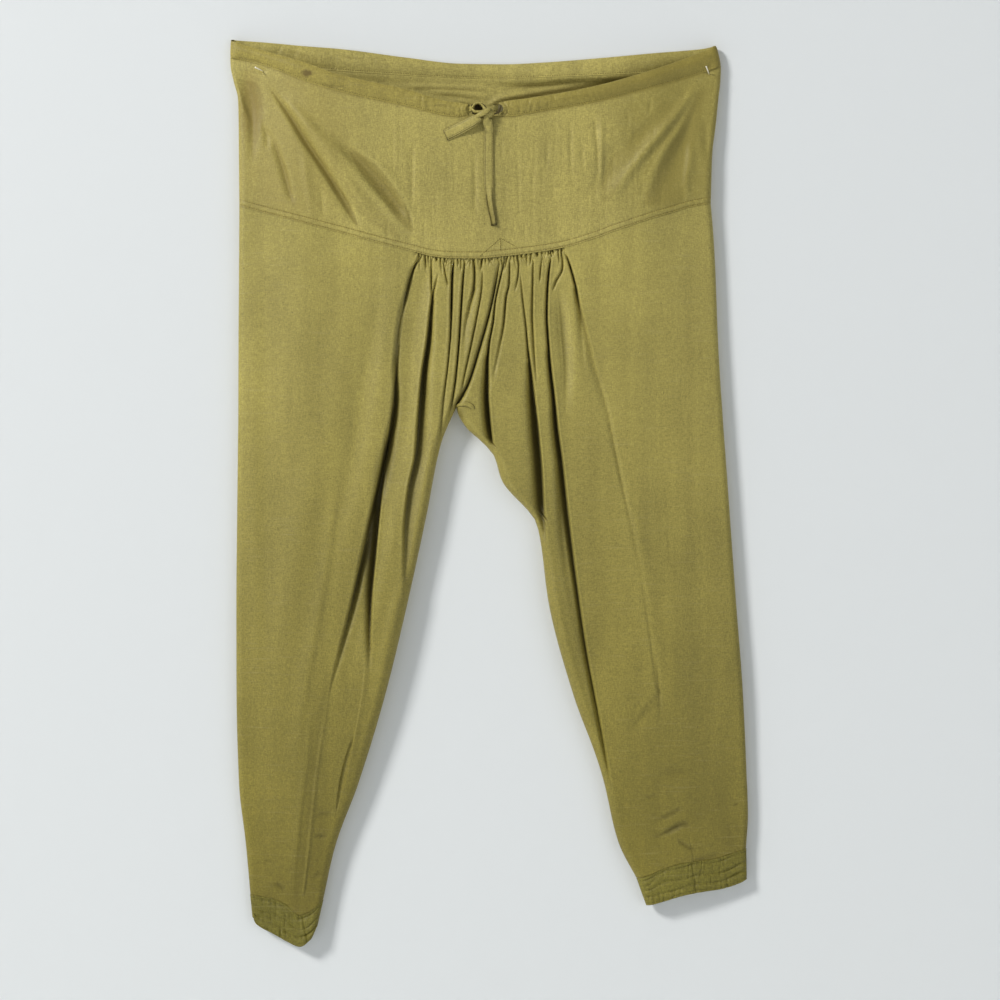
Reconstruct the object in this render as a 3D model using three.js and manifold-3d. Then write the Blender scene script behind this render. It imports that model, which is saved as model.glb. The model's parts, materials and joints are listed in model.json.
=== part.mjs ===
// Gathered drawstring trousers, hung flat on a wall by two pins.
// Millimetres, +Z up. The wall is the plane y = 0 and the garment's front faces -Y.
// The origin is on the wall, midway between the pins. Left and right are the viewer's.

import * as THREE from "three";
import { mergeVertices } from "three/addons/utils/BufferGeometryUtils.js";
import Module from "manifold-3d";

const wasm = await Module();
wasm.setup();

// Driving sizes
const wall = 1.2; // cloth of the yoke and the legs
const seam = 0.3; // between two sewn pieces
const gatherSeam = 0.5; // between the yoke and the gathered cloth under it
const casingSeam = 0.5; // between the casing and the yoke
const backStand = 2.2; // from the wall to the middle of the back cloth
const cornerShare = 0.45; // how much of the depth is left where the pins pull the corners in
const rollShape = 1.1; // a side's roll is this much wider than it is deep
const seamSlant = 1.2; // the centre seams lean, so their two sides stand this much further apart
const innerRoll = 11; // the most that an inseam's roll takes up across a leg
const cuffWall = 2; // a cuff is two layers and a stiffener
const casingHalf = 2; // half of the casing's thickness
const casingWall = 1;
const casingProud = 0.6; // the casing stands this far in front of the yoke's cloth
const casingGap = 16.2; // from the middle to each front end of the casing
const tape = { width: 11.5, inside: 10.6, thickness: 1, insideThickness: 0.8, atKnot: 7 };
const knot = { x: 4, z: -52.6, halfX: 9, halfY: 5.2, halfZ: 6.4, clear: 0.4 };
const yokeSeamX = 19.2; // centre-front seam of the yoke
const pinRadius = 0.8;
const pinHeadRadius = 1.7;
const pinHeadDepth = 1;
const pinPoint = 2.5;
const pinWallGap = 0.8;
const pinHole = 0.3; // round a pin, in the cloth
const cornerX = { left: -280, right: 262 }; // just inside the waist's corners
const heldShape = 0.8; // lower is squarer: how the depth grows from the corners to the middle
const heldFrom = { free: -170, held: 20 }; // heights between which the pins' pull sets in
const gatherFade = 26; // a gather reaches its full height this far under the yoke seam
const gatherStart = 0.25; // its share of that height at the seam
const footCalm = 45; // folds die out over this much above a cuff
const followTop = 170; // over this much, a leg's rows turn from the yoke seam's curve to level
const followFoot = 150; // and over this much, from level to the cuff's line

// How far the front hangs in front of the back
const depths = [
  { z: 40, depth: 26 },
  { z: -55, depth: 28 },
  { z: -210, depth: 22 },
  { z: -380, depth: 24 },
  { z: -650, depth: 24 },
  { z: -800, depth: 20 },
  { z: -980, depth: 15 },
];

// The yoke's two outer sides
const sides = [
  { z: 34, left: -284, right: 260 },
  { z: 17, left: -284.4, right: 264.4 },
  { z: 4, left: -284, right: 266.5 },
  { z: -12, left: -280.6, right: 266 },
  { z: -31, left: -275.6, right: 263.8 },
  { z: -57, left: -274.8, right: 261 },
  { z: -95, left: -274.4, right: 256.5 },
  { z: -150, left: -273.8, right: 254.8 },
];

// The casing's upper and lower edges, in front and behind
const waist = [
  { x: -284, frontTop: 33.5, frontFoot: 14.5, backTop: 35.3, backFoot: 14.5 },
  { x: -245, frontTop: 21, frontFoot: 4.5, backTop: 32.5, backFoot: 9.5 },
  { x: -205, frontTop: 8.5, frontFoot: -12, backTop: 28.8, backFoot: 4.5 },
  { x: -160, frontTop: -7.5, frontFoot: -26.5, backTop: 25.2, backFoot: 0 },
  { x: -88, frontTop: -24, frontFoot: -42.6, backTop: 15.8, backFoot: -4.5 },
  { x: -25, frontTop: -39.5, frontFoot: -55.5, backTop: 8.8, backFoot: -7.5 },
  { x: 25, frontTop: -37.5, frontFoot: -55, backTop: 8.2, backFoot: -8.5 },
  { x: 70, frontTop: -31.4, frontFoot: -48.2, backTop: 10.3, backFoot: -7.5 },
  { x: 124, frontTop: -20.7, frontFoot: -38.6, backTop: 14.5, backFoot: -5.6 },
  { x: 188, frontTop: -2, frontFoot: -21.8, backTop: 20.3, backFoot: -2 },
  { x: 248, frontTop: 21.2, frontFoot: -2.4, backTop: 25.5, backFoot: 2 },
  { x: 264, frontTop: 28, frontFoot: 4.5, backTop: 28.5, backFoot: 4.5 },
];

// The curved seam that joins the yoke to the legs
const yokeSeam = [
  { x: -274, z: -151.8 },
  { x: -247, z: -159.7 },
  { x: -205, z: -171 },
  { x: -157, z: -183.6 },
  { x: -117, z: -194.3 },
  { x: -76, z: -204.6 },
  { x: -55, z: -209.6 },
  { x: -32, z: -211.6 },
  { x: -8, z: -211.8 },
  { x: 21, z: -209.4 },
  { x: 55, z: -205.5 },
  { x: 90, z: -199.5 },
  { x: 124, z: -186.8 },
  { x: 145, z: -176.4 },
  { x: 165, z: -168.6 },
  { x: 188, z: -161.6 },
  { x: 231, z: -151.6 },
  { x: 255, z: -147.3 },
];

// Pulls across the front yoke, each a straight soft ridge (height above 0) or trough
const yokePulls = [
  { x: -238, z: -20, toX: -140, toZ: -176, height: -4, spread: 13 },
  { x: -262, z: -8, toX: -168, toZ: -176, height: 2.5, spread: 14 },
  { x: -168, z: -66, toX: -92, toZ: -176, height: -3.5, spread: 13 },
  { x: -205, z: -44, toX: -118, toZ: -182, height: 2.5, spread: 13 },
  { x: -243, z: -66, toX: -213, toZ: -152, height: -2, spread: 11 },
  { x: 240, z: -18, toX: 150, toZ: -160, height: 3.5, spread: 14 },
  { x: 226, z: -60, toX: 182, toZ: -158, height: -3.5, spread: 16 },
  { x: 160, z: -78, toX: 106, toZ: -160, height: -2.5, spread: 20 },
  { x: -79, z: -80, toX: -78, toZ: -130, height: -1.2, spread: 10 },
  { x: 131, z: -48, toX: 134, toZ: -138, height: -1.2, spread: 10 },
];

// How far the centre-front and centre-back seams tuck in towards each other, down to the crotch
const tucks = [
  { z: -212, front: 0, back: 0 },
  { z: -236, front: 0.66, back: 0.05 },
  { z: -330, front: 0.8, back: 0.3 },
  { z: -376, front: 1, back: 1 },
];

// The centre-front and centre-back seams of the legs, from the yoke down to the crotch
const crotchZ = -378;
const centreSeam = [
  { z: -210, x: 19.2 },
  { z: -260, x: 10 },
  { z: -320, x: -6.4 },
  { z: crotchZ, x: -30.2 },
];

// Each leg's outline and fold lines, from the yoke seam down to the cuff
const leftLeg = {
  name: "left",
  top: -210,
  foot: -930,
  lines: ["outer", "longFold", "secondFold", "thirdFold", "crotchFold", "shortFold", "inner"],
  sections: [
    { z: -210, outer: -273.8, longFold: -75, secondFold: -55, thirdFold: -37, crotchFold: -23,
      shortFold: -8 },
    { z: -260, outer: -274.2, longFold: -87.4, secondFold: -59, thirdFold: -37.5, crotchFold: -25,
      shortFold: -13 },
    { z: -320, outer: -274.8, longFold: -96.5, secondFold: -65.5, thirdFold: -41.5, crotchFold: -30.5,
      shortFold: -20.5 },
    { z: crotchZ, outer: -275, longFold: -101.5, secondFold: -73.3, thirdFold: -48, crotchFold: -42,
      shortFold: -36.5, inner: -30.2 },
    { z: -420, outer: -275.4, longFold: -108, secondFold: -77.4, thirdFold: -63, crotchFold: -58,
      shortFold: -53, inner: -47.8 },
    { z: -500, outer: -276.3, longFold: -125, secondFold: -85, thirdFold: -79, crotchFold: -74,
      shortFold: -69, inner: -64 },
    { z: -600, outer: -277.2, longFold: -149, secondFold: -108, thirdFold: -101, crotchFold: -96,
      shortFold: -91, inner: -85.7 },
    { z: -700, outer: -277, longFold: -172, secondFold: -132, thirdFold: -125, crotchFold: -120,
      shortFold: -115, inner: -110 },
    { z: -800, outer: -274.3, longFold: -184.5, secondFold: -161, thirdFold: -155, crotchFold: -150,
      shortFold: -145, inner: -140.4 },
    { z: -870, outer: -266.8, longFold: -194, secondFold: -183, thirdFold: -179, crotchFold: -175,
      shortFold: -171, inner: -166.3 },
    { z: -930, outer: -261.5, longFold: -204, secondFold: -195, thirdFold: -191, crotchFold: -187,
      shortFold: -183.5, inner: -180 },
  ],
  folds: [
    { line: "longFold", from: -212, to: -925, ridge: 6, away: 12, spread: 11, valley: 3, drop: 5 },
    { line: "secondFold", from: -212, to: -590, ridge: 6, away: 9, spread: 7, valley: 3, drop: 4 },
    { line: "thirdFold", from: -212, to: -420, ridge: 5, away: 7, spread: 5.5, valley: 3, drop: 0 },
    { line: "crotchFold", from: -212, to: -385, ridge: 4, away: 5.5, spread: 4.5, valley: 3, drop: 0 },
    { line: "shortFold", from: -212, to: -300, ridge: 3.5, away: 6, spread: 5, valley: 3, drop: 0 },
  ],
  swells: [
    { share: 0.3, height: 2.5, spread: 26 },
    { share: 0.66, height: 2, spread: 20 },
  ],
  cuffLine: [
    { x: -262, z: -925 },
    { x: -240, z: -928 },
    { x: -222, z: -935 },
    { x: -206, z: -947 },
    { x: -194, z: -943 },
    { x: -180, z: -930 },
  ],
  hem: [
    { x: -259, z: -950 },
    { x: -254, z: -958 },
    { x: -236, z: -968 },
    { x: -219, z: -977 },
    { x: -206, z: -982 },
    { x: -194, z: -974 },
    { x: -187, z: -960 },
  ],
  hemOuter: -259,
  hemInner: -187,
};

const rightLeg = {
  name: "right",
  top: -210,
  foot: -890,
  lines: ["outer", "longFold", "kneeFold", "shortFold", "hipFold", "crotchFold", "inner"],
  sections: [
    { z: -210, outer: 254.8, longFold: 92.4, kneeFold: 73.4, shortFold: 55.4, hipFold: 40.5,
      crotchFold: 30 },
    { z: -260, outer: 259.5, longFold: 106.8, kneeFold: 72.5, shortFold: 55.5, hipFold: 43,
      crotchFold: 24 },
    { z: -320, outer: 263, longFold: 122.8, kneeFold: 74.5, shortFold: 60, hipFold: 50,
      crotchFold: 14 },
    { z: crotchZ, outer: 267.6, longFold: 137.4, kneeFold: 80.7, shortFold: 68, hipFold: 58,
      crotchFold: 3, inner: -30.2 },
    { z: -400, outer: 269, longFold: 142, kneeFold: 84, shortFold: 71, hipFold: 61, crotchFold: 5,
      inner: -20 },
    { z: -413, outer: 270, longFold: 144.6, kneeFold: 85.7, shortFold: 73, hipFold: 63, crotchFold: 12,
      inner: -6 },
    { z: -432, outer: 271.4, longFold: 149, kneeFold: 88, shortFold: 75, hipFold: 65, crotchFold: 20,
      inner: 11.6 },
    { z: -460, outer: 273.5, longFold: 155, kneeFold: 92, shortFold: 78, hipFold: 67, crotchFold: 32,
      inner: 20.5 },
    { z: -510, outer: 277, longFold: 165, kneeFold: 98.7, shortFold: 84, hipFold: 74, crotchFold: 67,
      inner: 60.1 },
    { z: -600, outer: 283.5, longFold: 182, kneeFold: 110.3, shortFold: 94, hipFold: 87, crotchFold: 80.5,
      inner: 73.5 },
    { z: -700, outer: 291, longFold: 198, kneeFold: 126, shortFold: 117, hipFold: 112, crotchFold: 107,
      inner: 100.6 },
    { z: -790, outer: 295, longFold: 217, kneeFold: 153, shortFold: 147, hipFold: 143, crotchFold: 139,
      inner: 134 },
    { z: -850, outer: 296.7, longFold: 229, kneeFold: 172, shortFold: 166, hipFold: 160, crotchFold: 155,
      inner: 150.6 },
    { z: -890, outer: 294.5, longFold: 238, kneeFold: 196, shortFold: 189, hipFold: 183,
      crotchFold: 178, inner: 172 },
  ],
  folds: [
    { line: "crotchFold", from: -212, to: -440, ridge: 4.5, away: 6, spread: 5, valley: 3, drop: 0 },
    { line: "hipFold", from: -212, to: -520, ridge: 5, away: 6, spread: 6, valley: 3, drop: 2 },
    { line: "shortFold", from: -212, to: -300, ridge: 3.5, away: 6, spread: 5, valley: 3, drop: 0 },
    { line: "kneeFold", from: -212, to: -800, ridge: 5.5, away: 8, spread: 7, valley: 3, drop: 3 },
    { line: "longFold", from: -212, to: -885, ridge: 6, away: 13, spread: 12, valley: 3, drop: 4 },
  ],
  swells: [
    { share: 0.35, height: 2.5, spread: 24 },
    { share: 0.7, height: 2, spread: 18 },
  ],
  cuffLine: [
    { x: 172, z: -906 },
    { x: 184, z: -902.7 },
    { x: 204, z: -893.8 },
    { x: 232, z: -887 },
    { x: 253, z: -885 },
    { x: 295, z: -873 },
  ],
  hem: [
    { x: 184, z: -936 },
    { x: 201, z: -931.3 },
    { x: 223, z: -924.6 },
    { x: 249, z: -920 },
    { x: 266, z: -917.8 },
    { x: 288, z: -911 },
    { x: 295, z: -907.5 },
  ],
  hemOuter: 295,
  hemInner: 183,
};

// The back's gathers, as shares of the leg's width measured from the inner edge
const backFolds = [
  { top: 0.05, low: 0.1, to: -360, height: 3 },
  { top: 0.12, low: 0.16, to: -430, height: 3.5 },
  { top: 0.19, low: 0.25, to: -560, height: 4 },
  { top: 0.27, low: 0.38, to: -700, height: 4.5 },
  { top: 0.36, low: 0.56, to: -860, height: 5 },
];
const backFoldSpread = 0.028; // of the leg's width
const foldWiden = 1.6; // a fold is this much wider at the foot than at the seam

// A leg's columns, as shares of the way from one fold line to the next
const columnShares = {
  back: [0, 0.13, 0.27, 0.4, 0.5, 0.59, 0.66, 0.73, 0.79, 0.85, 0.9, 0.95, 0.985, 1],
  flat: [0, 0.16, 0.32, 0.48, 0.64, 0.78, 0.88, 0.94],
  wideFold: [0, 0.25, 0.5, 0.75],
  fold: [0, 0.33, 0.67],
  innerSide: [0, 0.35, 0.62, 0.82, 0.95, 1],
};

// Nominal heights of a leg's rows: closer at the gathers and the crotch, then as shares of the rest
const upperRows = [-210, -217, -232, -256, -290, -325, -352, -368, -380, -393, -408, -424, -445];
const lowerShares = [0.12, 0.26, 0.41, 0.56, 0.71, 0.85, 0.95, 1];

// The drawstring's hanging end: its middle line and how far it stands off the cloth's middle
const hangingEnd = [
  { x: 6, z: -59.4, lift: 6.6 },
  { x: 6.1, z: -63, lift: 5.6 },
  { x: 6.2, z: -68, lift: 4 },
  { x: 6.2, z: -74, lift: 2.8 },
  { x: 6.1, z: -82, lift: 2 },
  { x: 6, z: -91, lift: 1.7 },
  { x: 6, z: -100, lift: 1.6 },
  { x: 6.1, z: -109, lift: 1.6 },
  { x: 6.2, z: -118, lift: 1.6 },
  { x: 6.2, z: -127, lift: 1.6 },
  { x: 6.3, z: -136, lift: 1.6 },
  { x: 6.7, z: -144, lift: 1.6 },
  { x: 7.7, z: -152, lift: 1.7 },
  { x: 9.2, z: -160, lift: 1.8 },
  { x: 10.8, z: -168, lift: 1.8 },
  { x: 12, z: -176, lift: 1.7 },
];

// The drawstring's short end
const shortEnd = [
  { x: -3.6, z: -56.6, lift: 8.2 },
  { x: -9, z: -59.4, lift: 7.4 },
  { x: -15, z: -62.4, lift: 6 },
  { x: -21, z: -65.3, lift: 4.6 },
  { x: -27, z: -68.2, lift: 3.2 },
  { x: -33, z: -71.1, lift: 2.2 },
  { x: -38, z: -73.5, lift: 1.8 },
  { x: -42.6, z: -75.6, lift: 1.7 },
];

// Where each pin goes through the front cloth, and where its head is from there
const pins = [
  { name: "pin_left", x: -246.3, z: -1.7, head: [-8.5, -14, 3.4] },
  { name: "pin_right", x: 253.1, z: -4.2, head: [-5, -14, 7.6] },
];

const colours = {
  cloth: { color: 0x8f8650, roughness: 0.55, metalness: 0 },
  steel: { color: 0x8d8c88, roughness: 0.35, metalness: 0.9 },
};

const clamp = (value, low, high) => Math.min(high, Math.max(low, value));
const mix = (a, b, share) => a + (b - a) * share;
const bell = (value) => Math.exp(-value * value);

function ease(from, to, value) {
  const t = clamp((value - from) / (to - from), 0, 1);
  return t * t * (3 - 2 * t);
}

// A smooth curve through a table's rows that never swings past them
function curve(table, key, column) {
  const rows = [...table].sort((a, b) => a[key] - b[key]);
  const at = rows.map((row) => row[key]);
  const value = rows.map((row) => row[column]);
  const last = rows.length - 1;
  const slope = at.slice(1).map((next, i) => (value[i + 1] - value[i]) / (next - at[i]));
  const tangent = at.map((_, i) => {
    if (i === 0) return slope[0];
    if (i === last) return slope[last - 1];
    const product = slope[i - 1] * slope[i];
    return product <= 0 ? 0 : (2 * product) / (slope[i - 1] + slope[i]);
  });
  return (where) => {
    let i = 0;
    while (i < last - 1 && at[i + 1] < where) i += 1;
    const step = at[i + 1] - at[i];
    const t = clamp((where - at[i]) / step, 0, 1);
    const bow = t * t * (3 - 2 * t);
    return (
      mix(value[i], value[i + 1], bow) +
      step * (t * (1 - t) * (1 - t) * tangent[i] - t * t * (1 - t) * tangent[i + 1])
    );
  };
}

const depthAt = curve(depths, "z", "depth");
const sideLeft = curve(sides, "z", "left");
const sideRight = curve(sides, "z", "right");
const frontTop = curve(waist, "x", "frontTop");
const frontFoot = curve(waist, "x", "frontFoot");
const backTop = curve(waist, "x", "backTop");
const backFoot = curve(waist, "x", "backFoot");
const yokeSeamZ = curve(yokeSeam, "x", "z");
const tuckFront = curve(tucks, "z", "front");
const tuckBack = curve(tucks, "z", "back");
const centreSeamX = curve(centreSeam, "z", "x");

for (const leg of [leftLeg, rightLeg]) {
  leg.at = {};
  for (const line of leg.lines) {
    leg.at[line] = curve(leg.sections.filter((section) => line in section), "z", line);
  }
  const inseam = leg.at.inner;
  leg.at.inner = (z) => (z > crotchZ ? centreSeamX(z) : inseam(z));
  leg.cuffZ = curve(leg.cuffLine, "x", "z");
  leg.hemZ = curve(leg.hem, "x", "z");
  leg.side = leg === leftLeg ? 1 : -1; // the way from the outer side to the inner one
}

// The garment's depth at a place, less where the pins pull the corners to the wall
function depthHere(x, z) {
  const across = clamp((x - sideLeft(0)) / (sideRight(0) - sideLeft(0)), 0, 1);
  const held = mix(cornerShare, 1, Math.sin(Math.PI * across) ** heldShape);
  return depthAt(z) * mix(1, held, ease(heldFrom.free, heldFrom.held, z));
}

const frontFace = (x, z) => -(backStand + depthHere(x, z));
const middle = (x, z) => -(backStand + depthHere(x, z) / 2);

// Cloth that turns from a seam at depth edge to its face, over a quarter of an ellipse
function rolled(distance, edge, face, widest = Infinity) {
  const width = Math.min(rollShape * Math.abs(face - edge), widest);
  if (distance >= width) return face;
  return edge + (face - edge) * Math.sqrt(1 - (1 - distance / width) ** 2);
}

// The columns of a roll, as distances from its edge
const rollColumns = (width) => [0, 30, 60].map((turn) => width * (1 - Math.cos((turn * Math.PI) / 180)));

function pullsAt(x, z) {
  let height = 0;
  for (const pull of yokePulls) {
    const way = new THREE.Vector2(pull.toX - pull.x, pull.toZ - pull.z);
    const from = new THREE.Vector2(x - pull.x, z - pull.z);
    const share = from.dot(way) / way.lengthSq();
    const off = from.cross(way) / way.length();
    const ends = ease(-0.15, 0.2, share) * (1 - ease(0.8, 1.1, share));
    height += pull.height * bell(off / pull.spread) * ends;
  }
  return height;
}

// The front yoke's pulls lie flat at its seams
function yokeFrontY(x, z) {
  const fromSeam = z - yokeSeamZ(x);
  const fromTop = frontFoot(x) - z;
  return frontFace(x, z) - pullsAt(x, z) * ease(0, 22, fromSeam) * ease(0, 14, fromTop);
}

// A fold's strength: little at the yoke seam, then full, then fading out
function foldStrength(from, to, fade, z) {
  return mix(gatherStart, 1, ease(from, from - gatherFade, z)) * (1 - ease(to + fade, to, z));
}

function legRelief(leg, x, z) {
  let height = 0;
  const widen = mix(1, foldWiden, (leg.top - z) / (leg.top - leg.foot));
  for (const fold of leg.folds) {
    const off = x - leg.at[fold.line](z);
    const spread = fold.spread * widen;
    const under = ease(-3, 3, off) * (1 - ease(12, 34, off));
    const shape = fold.ridge * bell((off + fold.away * widen) / spread) -
      fold.valley * bell(off / (spread * 0.5)) - fold.drop * under;
    height += foldStrength(fold.from, fold.to, 70, z) * shape;
  }
  for (const swell of leg.swells) {
    const centre = mix(leg.at.outer(z), leg.at.longFold(z), swell.share);
    height += swell.height * bell((x - centre) / swell.spread) * ease(leg.top, leg.top - 60, z);
  }
  return height * (1 - ease(leg.foot + footCalm, leg.foot, z));
}

function backRelief(leg, x, z) {
  const outer = leg.at.outer(z);
  const inner = leg.at.inner(z);
  const share = (x - inner) / (outer - inner);
  const down = clamp((leg.top - z) / (leg.top - leg.foot), 0, 1);
  let height = 0;
  for (const fold of backFolds) {
    const at = mix(fold.top, fold.low, down ** 0.7);
    const off = (share - at) / (backFoldSpread * mix(1, foldWiden, down));
    height += fold.height * foldStrength(leg.top, fold.to, 80, z) * bell(off);
  }
  return height * (1 - ease(leg.foot + footCalm, leg.foot, z));
}

// A leg's real height at a nominal one: its top follows the yoke seam and its foot the cuff
function legZ(leg, x, z) {
  const top = yokeSeamZ(x) - gatherSeam - leg.top;
  const foot = leg.cuffZ(x) + seam - leg.foot;
  const nearTop = 1 - ease(leg.top, leg.top - followTop, z);
  const nearFoot = ease(leg.foot + followFoot, leg.foot, z);
  return z + top * nearTop + foot * nearFoot;
}

// The edge of a leg's cloth at its inner side, clear of the other leg's above the crotch
function innerX(leg, z) {
  return leg.at.inner(z) - leg.side * ((seam + wall) / 2) * seamSlant;
}

function legPoint(leg, x, nominal, front) {
  const z = legZ(leg, x, nominal);
  const outer = leg.at.outer(nominal);
  const inner = innerX(leg, nominal);
  const relief = front ? legRelief(leg, x, nominal) : backRelief(leg, x, nominal);
  const face = (front ? frontFace(x, z) : -backStand) - relief;
  const half = front ? -seam / 2 : seam / 2;
  const flat = front ? frontFace(inner, z) : -backStand;
  const tuck = front ? tuckFront(nominal) : tuckBack(nominal);
  const innerEdge = mix(flat, middle(inner, z) + half, tuck);
  const withInner = rolled(Math.abs(x - inner), innerEdge, face, innerRoll);
  const y = rolled(Math.abs(x - outer), middle(outer, z) + half, withInner);
  return new THREE.Vector3(x, y, z);
}

// The places across a leg where its columns stand, from the outer side to the inner one
function legColumns(leg, nominal, front) {
  const outer = leg.at.outer(nominal);
  const inner = innerX(leg, nominal);
  const roll = rollShape * depthHere(outer, legZ(leg, outer, nominal)) / 2;
  const columns = rollColumns(roll).map((distance) => outer + leg.side * distance);
  const start = outer + leg.side * roll;
  const addBetween = (from, to, shares) => columns.push(...shares.map((share) => mix(from, to, share)));
  if (!front) {
    addBetween(start, inner, columnShares.back);
    return columns;
  }
  const stops = leg.lines.map((line) => leg.at[line](nominal));
  const lastFold = stops.length - 2;
  addBetween(start, stops[1], columnShares.flat);
  for (let gap = 1; gap < lastFold; gap += 1) {
    addBetween(stops[gap], stops[gap + 1], gap === 1 ? columnShares.wideFold : columnShares.fold);
  }
  addBetween(stops[lastFold], inner, columnShares.innerSide);
  return columns;
}

function bodyOf(points, faces) {
  const positions = new Float32Array(points.length * 3);
  points.forEach((point, i) => point.toArray(positions, i * 3));
  const volume = faces.reduce((sum, [a, b, c]) => {
    return sum + points[a].dot(new THREE.Vector3().crossVectors(points[b], points[c]));
  }, 0);
  const outward = volume < 0 ? faces.map(([a, b, c]) => [a, c, b]) : faces;
  const geometry = new THREE.BufferGeometry();
  geometry.setAttribute("position", new THREE.BufferAttribute(positions, 3));
  geometry.setIndex(outward.flat());
  return geometry;
}

// The way from the place before to the place after, at the ends to or from the end itself
function wayAt(places, i) {
  const next = places[Math.min(i + 1, places.length - 1)];
  return new THREE.Vector3().subVectors(next, places[Math.max(i - 1, 0)]);
}

// A cloth wall from a grid of points in its middle. Each edge names the axis its end face is square to.
function clothWall(grid, thickness, edges) {
  const rows = grid.length - 1;
  const columns = grid[0].length - 1;
  const outer = [];
  const inner = [];
  for (let j = 0; j <= rows; j += 1) {
    for (let i = 0; i <= columns; i += 1) {
      const normal = wayAt(grid[j], i).cross(wayAt(grid.map((row) => row[i]), j));
      if (j === 0 || j === rows) normal.z = 0;
      if (i === 0) normal[edges.first] = 0;
      if (i === columns) normal[edges.last] = 0;
      normal.setLength(thickness / 2);
      outer.push(grid[j][i].clone().add(normal));
      inner.push(grid[j][i].clone().sub(normal));
    }
  }
  const count = outer.length;
  const faces = [];
  const quad = (a, b, c, d) => faces.push([a, b, c], [a, c, d]);
  const index = (i, j) => j * (columns + 1) + i;
  for (let j = 0; j < rows; j += 1) {
    for (let i = 0; i < columns; i += 1) {
      const corners = [index(i, j), index(i + 1, j), index(i + 1, j + 1), index(i, j + 1)];
      quad(...corners);
      quad(...corners.reverse().map((corner) => corner + count));
    }
  }
  const rim = (a, b) => quad(b, a, a + count, b + count);
  for (let i = 0; i < columns; i += 1) {
    rim(index(i, 0), index(i + 1, 0));
    rim(index(i + 1, rows), index(i, rows));
  }
  for (let j = 0; j < rows; j += 1) {
    rim(index(0, j + 1), index(0, j));
    rim(index(columns, j), index(columns, j + 1));
  }
  return bodyOf([...outer, ...inner], faces);
}

// A body through closed loops of points, hollow if inner loops are given
function loft(outer, inner) {
  const around = outer[0].length;
  const points = [...outer.flat(), ...(inner ? inner.flat() : [])];
  const start = outer.length * around;
  const faces = [];
  const quad = (a, b, c, d) => faces.push([a, b, c], [a, c, d]);
  const last = outer.length - 1;
  for (let i = 0; i < around; i += 1) {
    const next = (i + 1) % around;
    for (let j = 0; j < last; j += 1) {
      const here = j * around;
      quad(here + i, here + next, here + around + next, here + around + i);
      const inside = start + here;
      if (inner) quad(inside + next, inside + i, inside + around + i, inside + around + next);
    }
    const end = last * around;
    if (inner) {
      quad(i, start + i, start + next, next);
      quad(end + next, start + end + next, start + end + i, end + i);
    } else if (i > 0 && i < around - 1) {
      faces.push([0, next, i]);
      faces.push([end, end + i, end + next]);
    }
  }
  return bodyOf(points, faces);
}

function legPanel(leg, front) {
  const last = upperRows[upperRows.length - 1];
  const rows = [...upperRows, ...lowerShares.map((share) => mix(last, leg.foot, share))];
  const grid = rows.map((nominal) => {
    return legColumns(leg, nominal, front).map((x) => legPoint(leg, x, nominal, front));
  });
  return clothWall(grid, wall, { first: "y", last: "y" });
}

// Half of the front yoke, from its side to the centre-front seam
function yokeFront(side) {
  const sideX = side < 0 ? sideLeft : sideRight;
  const centre = yokeSeamX + side * (seam / 2);
  const nearSide = side < 0 ? cornerX.left : cornerX.right;
  const grid = [];
  for (let j = 0; j <= 9; j += 1) {
    const down = j / 9;
    const edge = sideX(mix(frontFoot(nearSide), yokeSeamZ(nearSide), down));
    const edgeZ = mix(frontFoot(edge), yokeSeamZ(edge), down);
    const roll = (rollShape * depthHere(edge, edgeZ)) / 2;
    const columns = rollColumns(roll).map((distance) => edge - side * distance);
    for (let i = 0; i <= 17; i += 1) columns.push(mix(edge - side * roll, centre, i / 17));
    grid.push(columns.map((x) => {
      const z = mix(frontFoot(x) - casingSeam, yokeSeamZ(x), down);
      const y = rolled(Math.abs(x - edge), middle(edge, z) - seam / 2, yokeFrontY(x, z));
      return new THREE.Vector3(x, y, z);
    }));
  }
  return clothWall(grid, wall, { first: "y", last: "x" });
}

function yokeBack() {
  const grid = [];
  for (let j = 0; j <= 5; j += 1) {
    const down = j / 5;
    const height = (x) => mix(backFoot(x), yokeSeamZ(x), down);
    const left = sideLeft(height(cornerX.left));
    const right = sideRight(height(cornerX.right));
    const rollLeft = (rollShape * depthHere(left, height(left))) / 2;
    const rollRight = (rollShape * depthHere(right, height(right))) / 2;
    const columns = rollColumns(rollLeft).map((distance) => left + distance);
    for (let i = 0; i <= 26; i += 1) columns.push(mix(left + rollLeft, right - rollRight, i / 26));
    columns.push(...rollColumns(rollRight).map((distance) => right - distance).reverse());
    grid.push(columns.map((x) => {
      const z = mix(backFoot(x) - casingSeam, yokeSeamZ(x), down);
      const fromLeft = rolled(x - left, middle(left, z) + seam / 2, -backStand);
      return new THREE.Vector3(x, rolled(right - x, middle(right, z) + seam / 2, fromLeft), z);
    }));
  }
  return clothWall(grid, wall, { first: "y", last: "y" });
}

// The casing's middle line: round the side from the seam there, then along to x = stop
function casingPath(side, front, stop, count) {
  const top = front ? frontTop : backTop;
  const foot = front ? frontFoot : backFoot;
  const sideX = side < 0 ? sideLeft : sideRight;
  const place = (x) => (top(x) + foot(x)) / 2;
  const edge = sideX(place(side < 0 ? cornerX.left : cornerX.right)) - side * casingHalf;
  const face = (x) => (front ? frontFace(x, place(x)) - casingProud : -backStand - casingProud / 2);
  const start = middle(edge, place(edge)) + (front ? -seam / 2 : seam / 2);
  const width = rollShape * Math.abs(face(edge) - start);
  const xs = rollColumns(width).map((distance) => edge - side * distance);
  for (let i = 0; i <= count; i += 1) xs.push(mix(edge - side * width, stop, i / count));
  return xs.map((x) => ({
    at: new THREE.Vector3(x, rolled(Math.abs(x - edge), start, face(x)), place(x)),
    half: (top(x) - foot(x)) / 2,
  }));
}

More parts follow.
